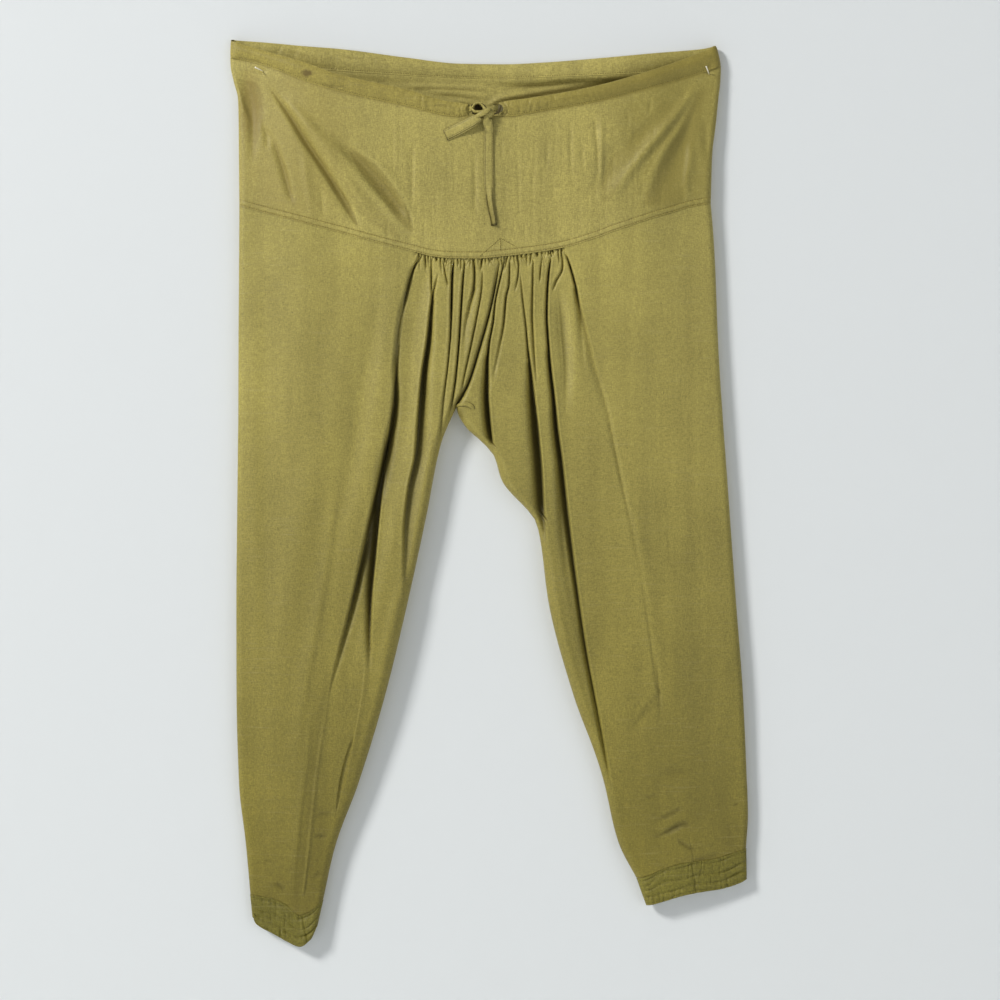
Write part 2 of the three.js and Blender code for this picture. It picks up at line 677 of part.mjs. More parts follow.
// Turned a quarter from the path's way, in plan
function besides(path) {
  const places = path.map(({ at }) => at);
  return places.map((_, i) => {
    const way = wayAt(places, i).setZ(0).normalize();
    return new THREE.Vector3(-way.y, way.x, 0);
  });
}

const stadium = (at, beside, thick, tall) => {
  const straight = tall - thick;
  const corner = thick * Math.SQRT1_2;
  const ring = [[thick, -straight], [thick, straight], [corner, straight + corner], [0, tall],
    [-corner, straight + corner], [-thick, straight], [-thick, -straight], [-corner, -straight - corner],
    [0, -tall], [corner, -straight - corner]];
  return ring.map(([out, up]) => at.clone().addScaledVector(beside, out).add(new THREE.Vector3(0, 0, up)));
};

function casingBody(path, squareEnds) {
  const sideways = besides(path);
  for (const end of squareEnds) sideways[end < 0 ? path.length - 1 : 0].setY(0).normalize();
  const loops = (thick, less) => {
    return path.map(({ at, half }, i) => stadium(at, sideways[i], thick, half - less));
  };
  return loft(loops(casingHalf, 0), loops(casingHalf - casingWall, casingWall));
}

const backLeft = casingPath(-1, false, 0, 8);
const backRight = casingPath(1, false, 0, 8);
const backPath = [...backLeft, ...backRight.slice(0, -1).reverse()];
const frontLeftPath = casingPath(-1, true, -casingGap, 13);
const frontRightPath = casingPath(1, true, casingGap, 13);

const knotY = frontFace(knot.x, knot.z) - wall / 2 - knot.clear - knot.halfY;

// A strip of tape through stations that give its middle, its way out and its half height
function strip(stations) {
  return loft(stations.map(({ at, out, up }) => [
    at.clone().add(out).add(up),
    at.clone().add(out).sub(up),
    at.clone().sub(out).sub(up),
    at.clone().sub(out).add(up),
  ]));
}

// The drawstring's run through the casing, from one side of the knot round to the other
function waistTape() {
  const toKnot = (side, path) => {
    const end = path[path.length - 1].at;
    const tip = new THREE.Vector3(knot.x + side * (knot.halfX - 0.4), knotY + 1.5, knot.z + 0.8);
    return [0.35, 0.7, 1].map((share) => ({
      at: end.clone().lerp(tip, share),
      tall: mix(tape.inside, tape.atKnot, share) / 2,
    }));
  };
  const inCasing = (path) => path.map(({ at }) => ({ at, tall: tape.inside / 2 }));
  const route = [
    ...toKnot(-1, frontLeftPath).reverse(),
    ...inCasing(frontLeftPath.slice(1)).reverse(),
    ...inCasing(backPath),
    ...inCasing(frontRightPath.slice(1)),
    ...toKnot(1, frontRightPath),
  ];
  const sideways = besides(route);
  return strip(route.map(({ at, tall }, i) => ({
    at,
    out: sideways[i].clone().multiplyScalar(tape.insideThickness / 2),
    up: new THREE.Vector3(0, 0, tall),
  })));
}

// A free end of the drawstring, lying on the front yoke
function tapeEnd(route) {
  const places = route.map(({ x, z, lift }) => new THREE.Vector3(x, yokeFrontY(x, z) - lift, z));
  return strip(places.map((at, i) => {
    const way = wayAt(places, i).normalize();
    const side = new THREE.Vector3(0, 1, 0).cross(way).normalize();
    const out = way.clone().cross(side).multiplyScalar(tape.thickness / 2);
    const width = mix(tape.atKnot, tape.width, ease(0, 3, i));
    return { at, out, up: side.multiplyScalar(width / 2) };
  }));
}

// The knot: a flattened lump with a crossing band raised on it
function knotBody() {
  const loops = [];
  const rings = 8;
  const around = 14;
  for (let j = 0; j <= rings; j += 1) {
    const slope = mix(-0.94, 0.94, j / rings) * (Math.PI / 2);
    const loop = [];
    for (let i = 0; i < around; i += 1) {
      const turn = (i / around) * 2 * Math.PI;
      const x = Math.sin(slope);
      const y = Math.cos(slope) * Math.cos(turn);
      const z = Math.cos(slope) * Math.sin(turn);
      const band = 0.94 + 0.1 * bell((x * 0.8 + z * 0.6) / 0.4);
      const out = new THREE.Vector3(knot.halfX * x, knot.halfY * y * band, knot.halfZ * z * band);
      loop.push(out.add(new THREE.Vector3(knot.x, knotY, knot.z)));
    }
    loops.push(loop);
  }
  return loft(loops);
}

// A cuff: a closed band from the leg's foot down to the hem
function cuffBody(leg) {
  const foot = leg.foot;
  const front = legColumns(leg, foot, true).map((x) => legPoint(leg, x, foot, true));
  const back = legColumns(leg, foot, false).map((x) => legPoint(leg, x, foot, false));
  const ring = [...front, ...back.slice(1, -1).reverse()];
  const outer = front[0].x;
  const inner = front[front.length - 1].x;
  const rows = 3;
  const outerLoops = [];
  const innerLoops = [];
  for (let j = 0; j <= rows; j += 1) {
    const down = j / rows;
    const loop = ring.map(({ x, y }) => {
      const share = (x - outer) / (inner - outer);
      const low = mix(leg.hemOuter, leg.hemInner, share);
      return new THREE.Vector3(mix(x, low, down), y, mix(leg.cuffZ(x), leg.hemZ(low), down));
    });
    const sideways = loop.map((_, i) => {
      const next = loop[(i + 1) % loop.length];
      const before = loop[(i + loop.length - 1) % loop.length];
      const way = new THREE.Vector3().subVectors(next, before).setZ(0).normalize();
      return new THREE.Vector3(way.y, -way.x, 0).multiplyScalar((leg.side * cuffWall) / 2);
    });
    outerLoops.push(loop.map((point, i) => point.clone().add(sideways[i])));
    innerLoops.push(loop.map((point, i) => point.clone().sub(sideways[i])));
  }
  return loft(outerLoops, innerLoops);
}

const mergedOf = (geometry) => mergeVertices(geometry, 1e-4);

function solidOf(geometry) {
  return new wasm.Manifold(new wasm.Mesh({
    numProp: 3,
    vertProperties: geometry.getAttribute("position").array,
    triVerts: new Uint32Array(geometry.getIndex().array),
  }));
}

function geometryOf(solid) {
  const mesh = solid.getMesh();
  const geometry = new THREE.BufferGeometry();
  geometry.setAttribute("position", new THREE.BufferAttribute(mesh.vertProperties, 3));
  geometry.setIndex(new THREE.BufferAttribute(mesh.triVerts, 1));
  return geometry;
}

// A turned profile along a pin's own line, which runs from the wall out to the head
function turnedOnPin(pin, profile, sides) {
  const through = new THREE.Vector3(pin.x, yokeFrontY(pin.x, pin.z), pin.z);
  const way = new THREE.Vector3(...pin.head);
  const start = through.clone().addScaledVector(way, (-pinWallGap - through.y) / way.y);
  const length = through.clone().add(way).distanceTo(start);
  const points = profile(length).map(([radius, along]) => new THREE.Vector2(radius, along));
  const up = new THREE.Vector3(0, 1, 0);
  const turn = new THREE.Quaternion().setFromUnitVectors(up, way.clone().normalize());
  const lathe = new THREE.LatheGeometry(points, sides);
  lathe.deleteAttribute("normal");
  lathe.deleteAttribute("uv");
  return lathe.applyQuaternion(turn).translate(start.x, start.y, start.z);
}

const pinProfile = (length) => [
  [0, 0],
  [pinRadius, pinPoint],
  [pinRadius, length - pinHeadDepth],
  [pinHeadRadius, length - pinHeadDepth],
  [pinHeadRadius, length - pinHeadDepth / 3],
  [0, length],
];

const holeProfile = (length) => [
  [0, -pinPoint],
  [pinRadius + pinHole, -pinPoint],
  [pinRadius + pinHole, length],
  [0, length],
];

// Cloth with a small hole where each pin goes through
function pierced(geometry) {
  const cut = pins.reduce((solid, pin) => {
    return solid.subtract(solidOf(mergedOf(turnedOnPin(pin, holeProfile, 10))));
  }, solidOf(geometry));
  return geometryOf(cut);
}

const garment = new THREE.Group();

function add(name, geometry, look) {
  const mesh = new THREE.Mesh(geometry, new THREE.MeshStandardMaterial(look));
  mesh.name = name;
  garment.add(mesh);
}

add("casing_back", casingBody(backPath, [1, -1]), colours.cloth);
add("casing_front_left", casingBody(frontLeftPath, [1]), colours.cloth);
add("casing_front_right", casingBody(frontRightPath, [1]), colours.cloth);
add("yoke_front_left", pierced(yokeFront(-1)), colours.cloth);
add("yoke_front_right", pierced(yokeFront(1)), colours.cloth);
add("yoke_back", pierced(yokeBack()), colours.cloth);
for (const leg of [leftLeg, rightLeg]) {
  add(`leg_front_${leg.name}`, legPanel(leg, true), colours.cloth);
  add(`leg_back_${leg.name}`, legPanel(leg, false), colours.cloth);
  add(`cuff_${leg.name}`, cuffBody(leg), colours.cloth);
}
add("drawstring_waist", waistTape(), colours.cloth);
add("drawstring_knot", knotBody(), colours.cloth);
add("drawstring_short_end", tapeEnd(shortEnd), colours.cloth);
add("drawstring_hanging_end", tapeEnd(hangingEnd), colours.cloth);
for (const pin of pins) add(pin.name, turnedOnPin(pin, pinProfile, 10), colours.steel);

export default garment;
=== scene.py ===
"""Gathered drawstring trousers of olive-gold silky cloth, hung flat on a wall by two pins.

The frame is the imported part's: the wall is the plane y = 0, the front faces -Y, and +Z is up.
Tables and cloth shapes are in millimetres. Meshes are in metres.
"""
import json
import math
import random

import bmesh
import bpy
import numpy as np
from mathutils import Matrix, Vector

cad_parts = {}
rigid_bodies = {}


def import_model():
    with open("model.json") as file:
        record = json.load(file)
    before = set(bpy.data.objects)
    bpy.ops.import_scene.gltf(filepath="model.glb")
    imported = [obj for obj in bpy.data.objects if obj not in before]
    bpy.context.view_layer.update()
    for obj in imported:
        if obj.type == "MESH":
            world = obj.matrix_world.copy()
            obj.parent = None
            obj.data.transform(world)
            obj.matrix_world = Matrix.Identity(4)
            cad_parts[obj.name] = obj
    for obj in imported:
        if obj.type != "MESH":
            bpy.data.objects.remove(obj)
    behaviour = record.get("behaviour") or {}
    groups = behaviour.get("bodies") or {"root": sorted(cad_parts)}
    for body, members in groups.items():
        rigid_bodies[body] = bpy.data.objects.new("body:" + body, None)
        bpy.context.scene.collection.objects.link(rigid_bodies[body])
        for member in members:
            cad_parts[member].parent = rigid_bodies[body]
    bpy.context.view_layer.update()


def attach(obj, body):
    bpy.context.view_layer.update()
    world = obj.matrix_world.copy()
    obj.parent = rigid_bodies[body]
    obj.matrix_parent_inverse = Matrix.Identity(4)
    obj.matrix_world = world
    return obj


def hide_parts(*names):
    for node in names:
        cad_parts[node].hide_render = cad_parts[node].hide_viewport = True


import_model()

MM = 0.001

# Driving sizes. Most are the solids' own
BACK_STAND = 2.2  # from the wall to the middle of the back cloth
CORNER_SHARE = 0.45  # how much of the depth is left where the pins pull the corners in
HELD_SHAPE = 0.8  # how fast the depth comes back from there towards the middle
HELD_FOOT, HELD_TOP = -170, 20  # the heights between which that pull sets in
SIDE_SHARE = 0.6  # the side seams lie closer to the wall than the gathers do
SIDE_SPREAD = 85  # how far in from a side seam that lasts
SEAM_HALF = 0.1  # how far the front and back cloths lie from the middle of the seam between them
ROLL_SHAPE = 1.1  # a side's roll is this much wider than it is deep
SEAM_LEAN = 0.4  # how far apart the middles of the legs' cloths lie in the centre seam
INNER_ROLL = 11  # the most that an inseam's roll takes up across a leg
SEAM_ROLL = 4.5  # and the most that the centre seam's does, above where the legs part
CASING_HALF = 2  # half the depth of a casing with the tape in it
CASING_PROUD = 0.6  # how far a casing's middle stands in front of the yoke
CASING_GAP = 16.2  # half the gap between the front casings' open ends
CORNER_X = {"left": -280, "right": 262}  # where the sides are at the waist
CLOTH = 0.5  # thickness of the cloth
CUFF_CLOTH = 1.4  # and of the stiffened cuffs

# Columns and rows of each sheet's grid
GRIDS = {
    "leg_front": (228, 196),
    "leg_back": (100, 112),
    "front_yoke": (336, 120),
    "back_yoke": (170, 92),
    "cuff": (264, 36),
}

# z, the garment's depth
DEPTHS = [(40, 26), (-55, 28), (-210, 22), (-380, 24), (-650, 24), (-800, 20), (-980, 15)]

# z, left side, right side
SIDES = [
    (34, -284, 260),
    (17, -284.4, 264.4),
    (4, -284, 266.5),
    (-12, -280.6, 266),
    (-31, -275.6, 263.8),
    (-57, -274.8, 261),
    (-95, -274.4, 256.5),
    (-150, -273.8, 254.8),
]

# x, front casing's top and foot, back casing's top and foot
WAIST = [
    (-284, 33.5, 14.5, 35.3, 14.5),
    (-245, 21, 4.5, 32.5, 9.5),
    (-205, 8.5, -12, 28.8, 4.5),
    (-160, -7.5, -26.5, 25.2, 0),
    (-88, -24, -42.6, 15.8, -4.5),
    (-25, -39.5, -55.5, 8.8, -7.5),
    (25, -37.5, -55, 8.2, -8.5),
    (70, -31.4, -48.2, 10.3, -7.5),
    (124, -20.7, -38.6, 14.5, -5.6),
    (188, -2, -21.8, 20.3, -2),
    (248, 21.2, -2.4, 25.5, 2),
    (264, 28, 4.5, 28.5, 4.5),
]

# x, z
YOKE_SEAM = [
    (-274, -151.8), (-247, -159.7), (-205, -171), (-157, -183.6), (-117, -194.3), (-76, -204.6),
    (-55, -209.6), (-32, -211.6), (-8, -211.8), (21, -209.4), (55, -205.5), (90, -199.5),
    (124, -189.4), (147, -181), (164, -175.3), (187, -167.6), (209, -160.8), (231, -154), (255, -149),
]

# z, how far the centre seam tucks in at the front and at the back
TUCKS = [(-212, 0, 0), (-236, 0.66, 0.05), (-330, 0.8, 0.3), (-376, 1, 1)]
CROTCH_Z = -378
LEG_TOP = -210

# z, outer side, long fold and inner side of each leg
LEFT_OUTLINE = [
    (-210, -273.8, -75, 19.2),
    (-260, -274.2, -87.4, 10),
    (-320, -274.8, -96.5, -6.4),
    (-350, -274.9, -99, -15.8),
    (-366, -275, -100.4, -23.6),
    (CROTCH_Z, -275, -101.5, -30.2),
    (-420, -275.4, -108, -47.8),
    (-500, -276.3, -125, -64),
    (-600, -277.2, -149, -85.7),
    (-700, -277, -172, -110),
    (-800, -274.3, -184.5, -140.4),
    (-870, -266.8, -194, -166.3),
    (-930, -261.5, -204, -180),
]
RIGHT_OUTLINE = [
    (-210, 254.8, 92.4, 19.2),
    (-260, 259.5, 106.8, 10),
    (-320, 263, 122.8, -6.4),
    (-350, 265.3, 130.3, -15.8),
    (-366, 266.6, 134.3, -23.6),
    (CROTCH_Z, 267.6, 137.4, -30.2),
    (-400, 269, 142, -20),
    (-413, 270, 144.6, -6),
    (-432, 271.4, 149, 11.6),
    (-460, 273.5, 155, 20.5),
    (-510, 277, 165, 60.1),
    (-600, 283.5, 182, 73.5),
    (-700, 291, 198, 100.6),
    (-790, 295, 217, 134),
    (-850, 296.7, 229, 150.6),
    (-890, 294.5, 238, 172),
]
# x, z of the cuffs' upper and lower edges
LEFT_CUFF_LINE = [(-262, -925), (-240, -928), (-222, -935), (-206, -947), (-194, -943), (-180, -930)]
RIGHT_CUFF_LINE = [
    (172, -906), (184, -902.7), (204, -893.8), (232, -887), (253, -885), (295, -873),
]
LEFT_HEM = [(-259, -950), (-254, -958), (-236, -968), (-219, -977), (-206, -982), (-194, -974), (-187, -960)]
RIGHT_HEM = [
    (184, -936), (201, -931.3), (223, -924.6), (249, -920), (266, -917.8), (288, -911), (295, -907.5),
]

# How the legs' looks differ: how high the cloth beside the long fold swells, how deep it steps down past
# the fold, how wide the centre seam's painted dark line is at its top and foot, and how dark three patches
# of painted shade are: past the fold's lower end, on that end, and under the crotch's raw edge
LEG_LOOKS = {
    "left": {
        "swell": 1.6, "step": 3.2, "seam_line": (2.6, 4.4),
        "past_fold": 0.12, "on_fold": 0.16, "under_edge": 0,
    },
    "right": {
        "swell": 1.2, "step": 0, "seam_line": (1.2, 1.2),
        "past_fold": 0, "on_fold": 0, "under_edge": 0.6,
    },
}


def mix(a, b, share):
    return a + (b - a) * share


def bell(value):
    return np.exp(-value * value)


def ease(start, stop, value):
    t = np.clip((value - start) / (stop - start), 0, 1)
    return t * t * (3 - 2 * t)


def within(low, high, soft, value):
    """1 between two limits and 0 beyond them, with a soft step at each."""
    return ease(low - soft, low + soft, value) * (1 - ease(high - soft, high + soft, value))


def turned(u, share):
    """How far cloth has come round a quarter turn that takes up this share of u, from 0 to 1."""
    return 1 - np.cos(np.clip(u / share, 0, 1) * math.pi / 2)


def curve(table, column=1):
    """A smooth curve through a table's rows that never swings past them, held level beyond its ends."""
    rows = sorted(table)
    at = np.array([row[0] for row in rows], float)
    value = np.array([row[column] for row in rows], float)
    slope = np.diff(value) / np.diff(at)
    together = slope[:-1] * slope[1:] > 0
    total = np.where(together, slope[:-1] + slope[1:], 1)
    inner = np.where(together, 2 * slope[:-1] * slope[1:] / total, 0)
    tangent = np.concatenate([slope[:1], inner, slope[-1:]])

    def read(where):
        i = np.clip(np.searchsorted(at, where) - 1, 0, len(at) - 2)
        step = at[i + 1] - at[i]
        t = np.clip((where - at[i]) / step, 0, 1)
        bow = t * t * (3 - 2 * t)
        level = mix(value[i], value[i + 1], bow)
        return level + step * (t * (1 - t) ** 2 * tangent[i] - t * t * (1 - t) * tangent[i + 1])

    return read


depth_at = curve(DEPTHS)
side_left, side_right = curve(SIDES, 1), curve(SIDES, 2)
SIDE_LINES = {"left": side_left, "right": side_right}
front_top, front_foot, back_top, back_foot = (curve(WAIST, column) for column in (1, 2, 3, 4))
yoke_seam_z = curve(YOKE_SEAM)
tuck_front, tuck_back = curve(TUCKS, 1), curve(TUCKS, 2)


def leg_of(name, outline, cuff_line, hem, hem_outer, hem_inner, foot):
    return {
        "name": name,
        "outer": curve(outline, 1),
        "long_fold": curve(outline, 2),
        "inner": curve(outline, 3),
        "cuff_z": curve(cuff_line),
        "hem_z": curve(hem),
        "hem_outer": hem_outer,
        "hem_inner": hem_inner,
        "top": LEG_TOP,
        "foot": foot,
        "side": 1 if name == "left" else -1,
        **LEG_LOOKS[name],
    }


LEFT = leg_of(
    "left", LEFT_OUTLINE, LEFT_CUFF_LINE, LEFT_HEM, hem_outer=-259, hem_inner=-187, foot=-930,
)
RIGHT = leg_of(
    "right", RIGHT_OUTLINE, RIGHT_CUFF_LINE, RIGHT_HEM, hem_outer=295, hem_inner=183, foot=-890,
)

outer_left = curve([(z, x) for z, x, _ in SIDES] + [row[:2] for row in LEFT_OUTLINE])
outer_right = curve([(z, x) for z, _, x in SIDES] + [row[:2] for row in RIGHT_OUTLINE])


def depth_here(x, z):
    """The garment's depth at a place, less where the pins pull the corners to the wall and at its sides."""
    across = np.clip((x - side_left(0)) / (side_right(0) - side_left(0)), 0, 1)
    held = mix(CORNER_SHARE, 1, np.sin(math.pi * across) ** HELD_SHAPE)
    from_side = np.minimum(x - outer_left(z), outer_right(z) - x)
    sided = mix(SIDE_SHARE, 1, ease(0, SIDE_SPREAD, from_side))
    return depth_at(z) * mix(1, held, ease(HELD_FOOT, HELD_TOP, z)) * sided


def front_face(x, z):
    return -(BACK_STAND + depth_here(x, z))


def middle(x, z):
    return -(BACK_STAND + depth_here(x, z) / 2)


def rolled(distance, edge, face, widest=1e9):
    """Cloth that turns from a seam at depth edge to its face, over a quarter of an ellipse."""
    width = np.minimum(ROLL_SHAPE * np.abs(face - edge), widest)
    share = np.clip(1 - distance / np.maximum(width, 1e-6), 0, 1)
    return edge + (face - edge) * np.sqrt(1 - share**2)


def line_of(rows, names):
    """A crease's or wrinkle's limits in its first column, and a curve for each of its other columns."""
    return {
        "low": min(row[0] for row in rows),
        "high": max(row[0] for row in rows),
        **{name: curve(rows, column) for column, name in enumerate(names, 1)},
    }


NARROW = 2.7  # a side with a smaller reach than this is a crease's sharp one
LIP_AT = 2.6  # how far from its crease a lip stands
LIP_REACH = 1.5
LIP_FULL = 4  # a crease as deep as this has a full lip
CREASE_END = 4  # a crease comes and goes over twice this length at each end
WRINKLE_END = 2  # and a wrinkle over twice this


def crease_of(rows):
    """A fold or crease: z, x, height (+ stands out, - sinks in), reach to its left and to its right."""
    return line_of(rows, ("x", "height", "left", "right"))


def relief_of(creases, x, z, crisp=1.0, lip=0.0):
    """The creases' heights. A crisp one's narrow side is narrower, and a lip stands along that side."""
    height = np.zeros_like(x)
    for crease in creases:
        off = x - crease["x"](z)
        left, right = crease["left"](z), crease["right"](z)
        reach = np.where(off < 0, left, right)
        reach = np.where(reach < NARROW, reach * crisp, reach)
        shown = within(crease["low"], crease["high"], CREASE_END, z)
        tall = crease["height"](z)
        height += tall * bell(off / reach) * shown
        if lip:
            on_lip = np.where(left < right, off < 0, off > 0)
            edge = bell((np.abs(off) - LIP_AT) / LIP_REACH) * np.clip(-tall / LIP_FULL, 0, 1)
            height += lip * edge * on_lip * shown
    return height


YOKE_CREASES = [crease_of(rows) for rows in [
    # the pull from the left pin down across the yoke, and the ridge beside it
    [(-20, -239, 0, 3, 4), (-51, -217, -3.5, 4, 4), (-89, -193, -5, 5, 5), (-125, -169, -5, 5, 5),
     (-150, -154, -4, 6, 5), (-177, -140, -0.5, 5, 5)],
    [(-30, -222, 0, 6, 6), (-62, -197, 2.4, 7, 9), (-95, -172, 2.8, 8, 9), (-135, -143, 2.2, 8, 9),
     (-170, -120, 0.4, 7, 8)],
    # the broad soft trough next to it, and its bright upper side
    [(-71, -166, 0, 8, 8), (-94, -147, -3.2, 9, 8), (-113, -129, -4.6, 11, 9), (-137, -109, -4.6, 11, 9),
     (-155, -96, -3.4, 9, 7), (-169, -89, 0, 6, 6)],
    [(-68, -185, 0, 8, 8), (-101, -155, 2, 8, 7), (-135, -127, 2.6, 8, 7), (-163, -102, 1.6, 8, 6),
     (-182, -90, 0, 6, 6)],
    [(-96, -132, 0, 7, 7), (-118, -106, 1.6, 7, 8), (-146, -90, 1.2, 6, 7), (-166, -79, 0, 5, 5)],
    # short pulls under the left pin
    [(-66, -241, 0, 3, 4), (-90, -231, -1.8, 4, 4), (-115, -223, -2.6, 4, 4), (-141, -216, -1.8, 4, 4),
     (-152, -213, 0, 3, 3)],
    [(-55, -248, 0, 3, 3), (-75, -242.5, -1.6, 3, 3), (-92, -241, 0, 3, 3)],
    [(0, -270, 0, 7, 7), (-20, -264, -2.4, 8, 8), (-45, -260, -3.6, 10, 9), (-70, -259, -2.4, 7, 6),
     (-105, -259, 0, 4, 4)],
    [(-2, -283, 0.2, 4, 3), (-23, -277, 1.6, 5, 3), (-45, -268, 2, 5, 3), (-60, -264, 1.4, 4, 3),
     (-100, -263, 0, 3, 3)],
    [(-90, -201, 0, 4, 4), (-118, -198, 1, 4, 5), (-150, -193, 0.8, 4, 5), (-176, -190, 0, 4, 4)],
    [(-128, -183, 0, 3, 3), (-148, -180, -0.9, 3, 3), (-170, -179, 0, 3, 3)],
    # upright creases across the middle
    [(-83, -79.5, 0, 2, 2), (-101, -79, -1, 2, 1.6), (-125, -79, -1.1, 2, 1.6), (-150, -79, 0, 2, 2)],
    [(-142, -89, 0, 2, 2), (-163, -83, -1, 1.8, 1.8), (-186, -79, 0, 2, 2)],
    [(-84, -10, 0, 3, 3), (-112, -9.5, -1, 3, 2.4), (-140, -9, -1.5, 3.4, 2.6), (-170, -10, 0, 3, 3)],
    [(-72, 20.5, 0, 2, 2), (-90, 20.5, -0.8, 2, 2), (-106, 21, 0, 2, 2)],
    [(-84, 28.5, 0, 2, 2), (-92, 28.5, -0.7, 2, 2), (-100, 28.5, 0, 2, 2)],
    [(-90, 38.5, 0, 2, 2), (-120, 39, -0.7, 2, 2), (-150, 39.5, -0.6, 2, 2), (-175, 40, 0, 2, 2)],
    [(-100, 56, 0, 2, 2), (-125, 55, -0.8, 2, 2.4), (-150, 54, 0, 2, 2)],
    [(-75, 72, 0, 2.4, 2), (-100, 71, -1, 2.4, 2), (-125, 69, 0, 2, 2)],
    [(-122, 78, 0, 2, 2), (-136, 78, -0.7, 2, 2), (-150, 77, 0, 2, 2)],
    [(-54, 97, 0, 2, 2), (-80, 97, -1, 2, 2), (-105, 97.5, -1, 2, 2), (-130, 98, 0, 2, 2)],
    [(-78, 109, 0, 2, 2), (-100, 110, -0.8, 2, 2), (-122, 112, 0, 2, 2)],
    [(-52, 124, 0, 2, 2), (-70, 125, -1.2, 2.4, 2), (-95, 127.5, -1.4, 2.6, 2), (-125, 128, 0, 2, 2)],
    [(-48, 132, 0, 3, 3), (-75, 131.5, 1.3, 2.4, 3), (-110, 131, 1.4, 2.4, 3), (-142, 129, 0, 3, 3)],
    [(-45, 161, 0, 2, 2), (-58, 161, -0.7, 2, 2), (-68, 161, 0, 2, 2)],
    [(-28, 187, 0, 2, 2), (-42, 186, -1, 2, 2), (-56, 184, 0, 2, 2)],
    # the pulls from the right pin
    [(-14, 240, 0, 5, 5), (-45, 220, 2.4, 7, 6), (-73, 198, 3.2, 8, 6), (-96, 179, 3, 8, 6),
     (-118, 162, 2.2, 8, 7), (-150, 142, 0, 6, 6)],
    [(-18, 244, 0, 5, 5), (-62, 223, 1.6, 5, 7), (-90, 203, 2, 5, 8), (-112, 192, 1.6, 5, 8),
     (-150, 180, 0, 5, 6)],
    [(-24, 243, 0, 5, 5), (-56, 231, -1.6, 7, 7), (-90, 220, -2.5, 11, 11), (-112, 210, -2.5, 13, 13),
     (-135, 201, -1.8, 12, 14), (-156, 195, 0, 10, 10)],
    [(-78, 232, 0, 4, 4), (-100, 231, 1.8, 4, 5), (-128, 227, 1.6, 4, 5), (-150, 230, 0, 4, 4)],
    [(-80, 150, 0, 12, 10), (-100, 144, -2, 14, 12), (-125, 134, -2.4, 14, 12), (-150, 118, 0, 12, 12)],
    [(-52, 190, 0, 10, 10), (-72, 178, -2, 12, 10), (-92, 168, 0, 10, 8)],
    [(-52, 247, 0, 4, 4), (-80, 250, -1.4, 5, 4), (-108, 251, 0, 4, 4)],
]]

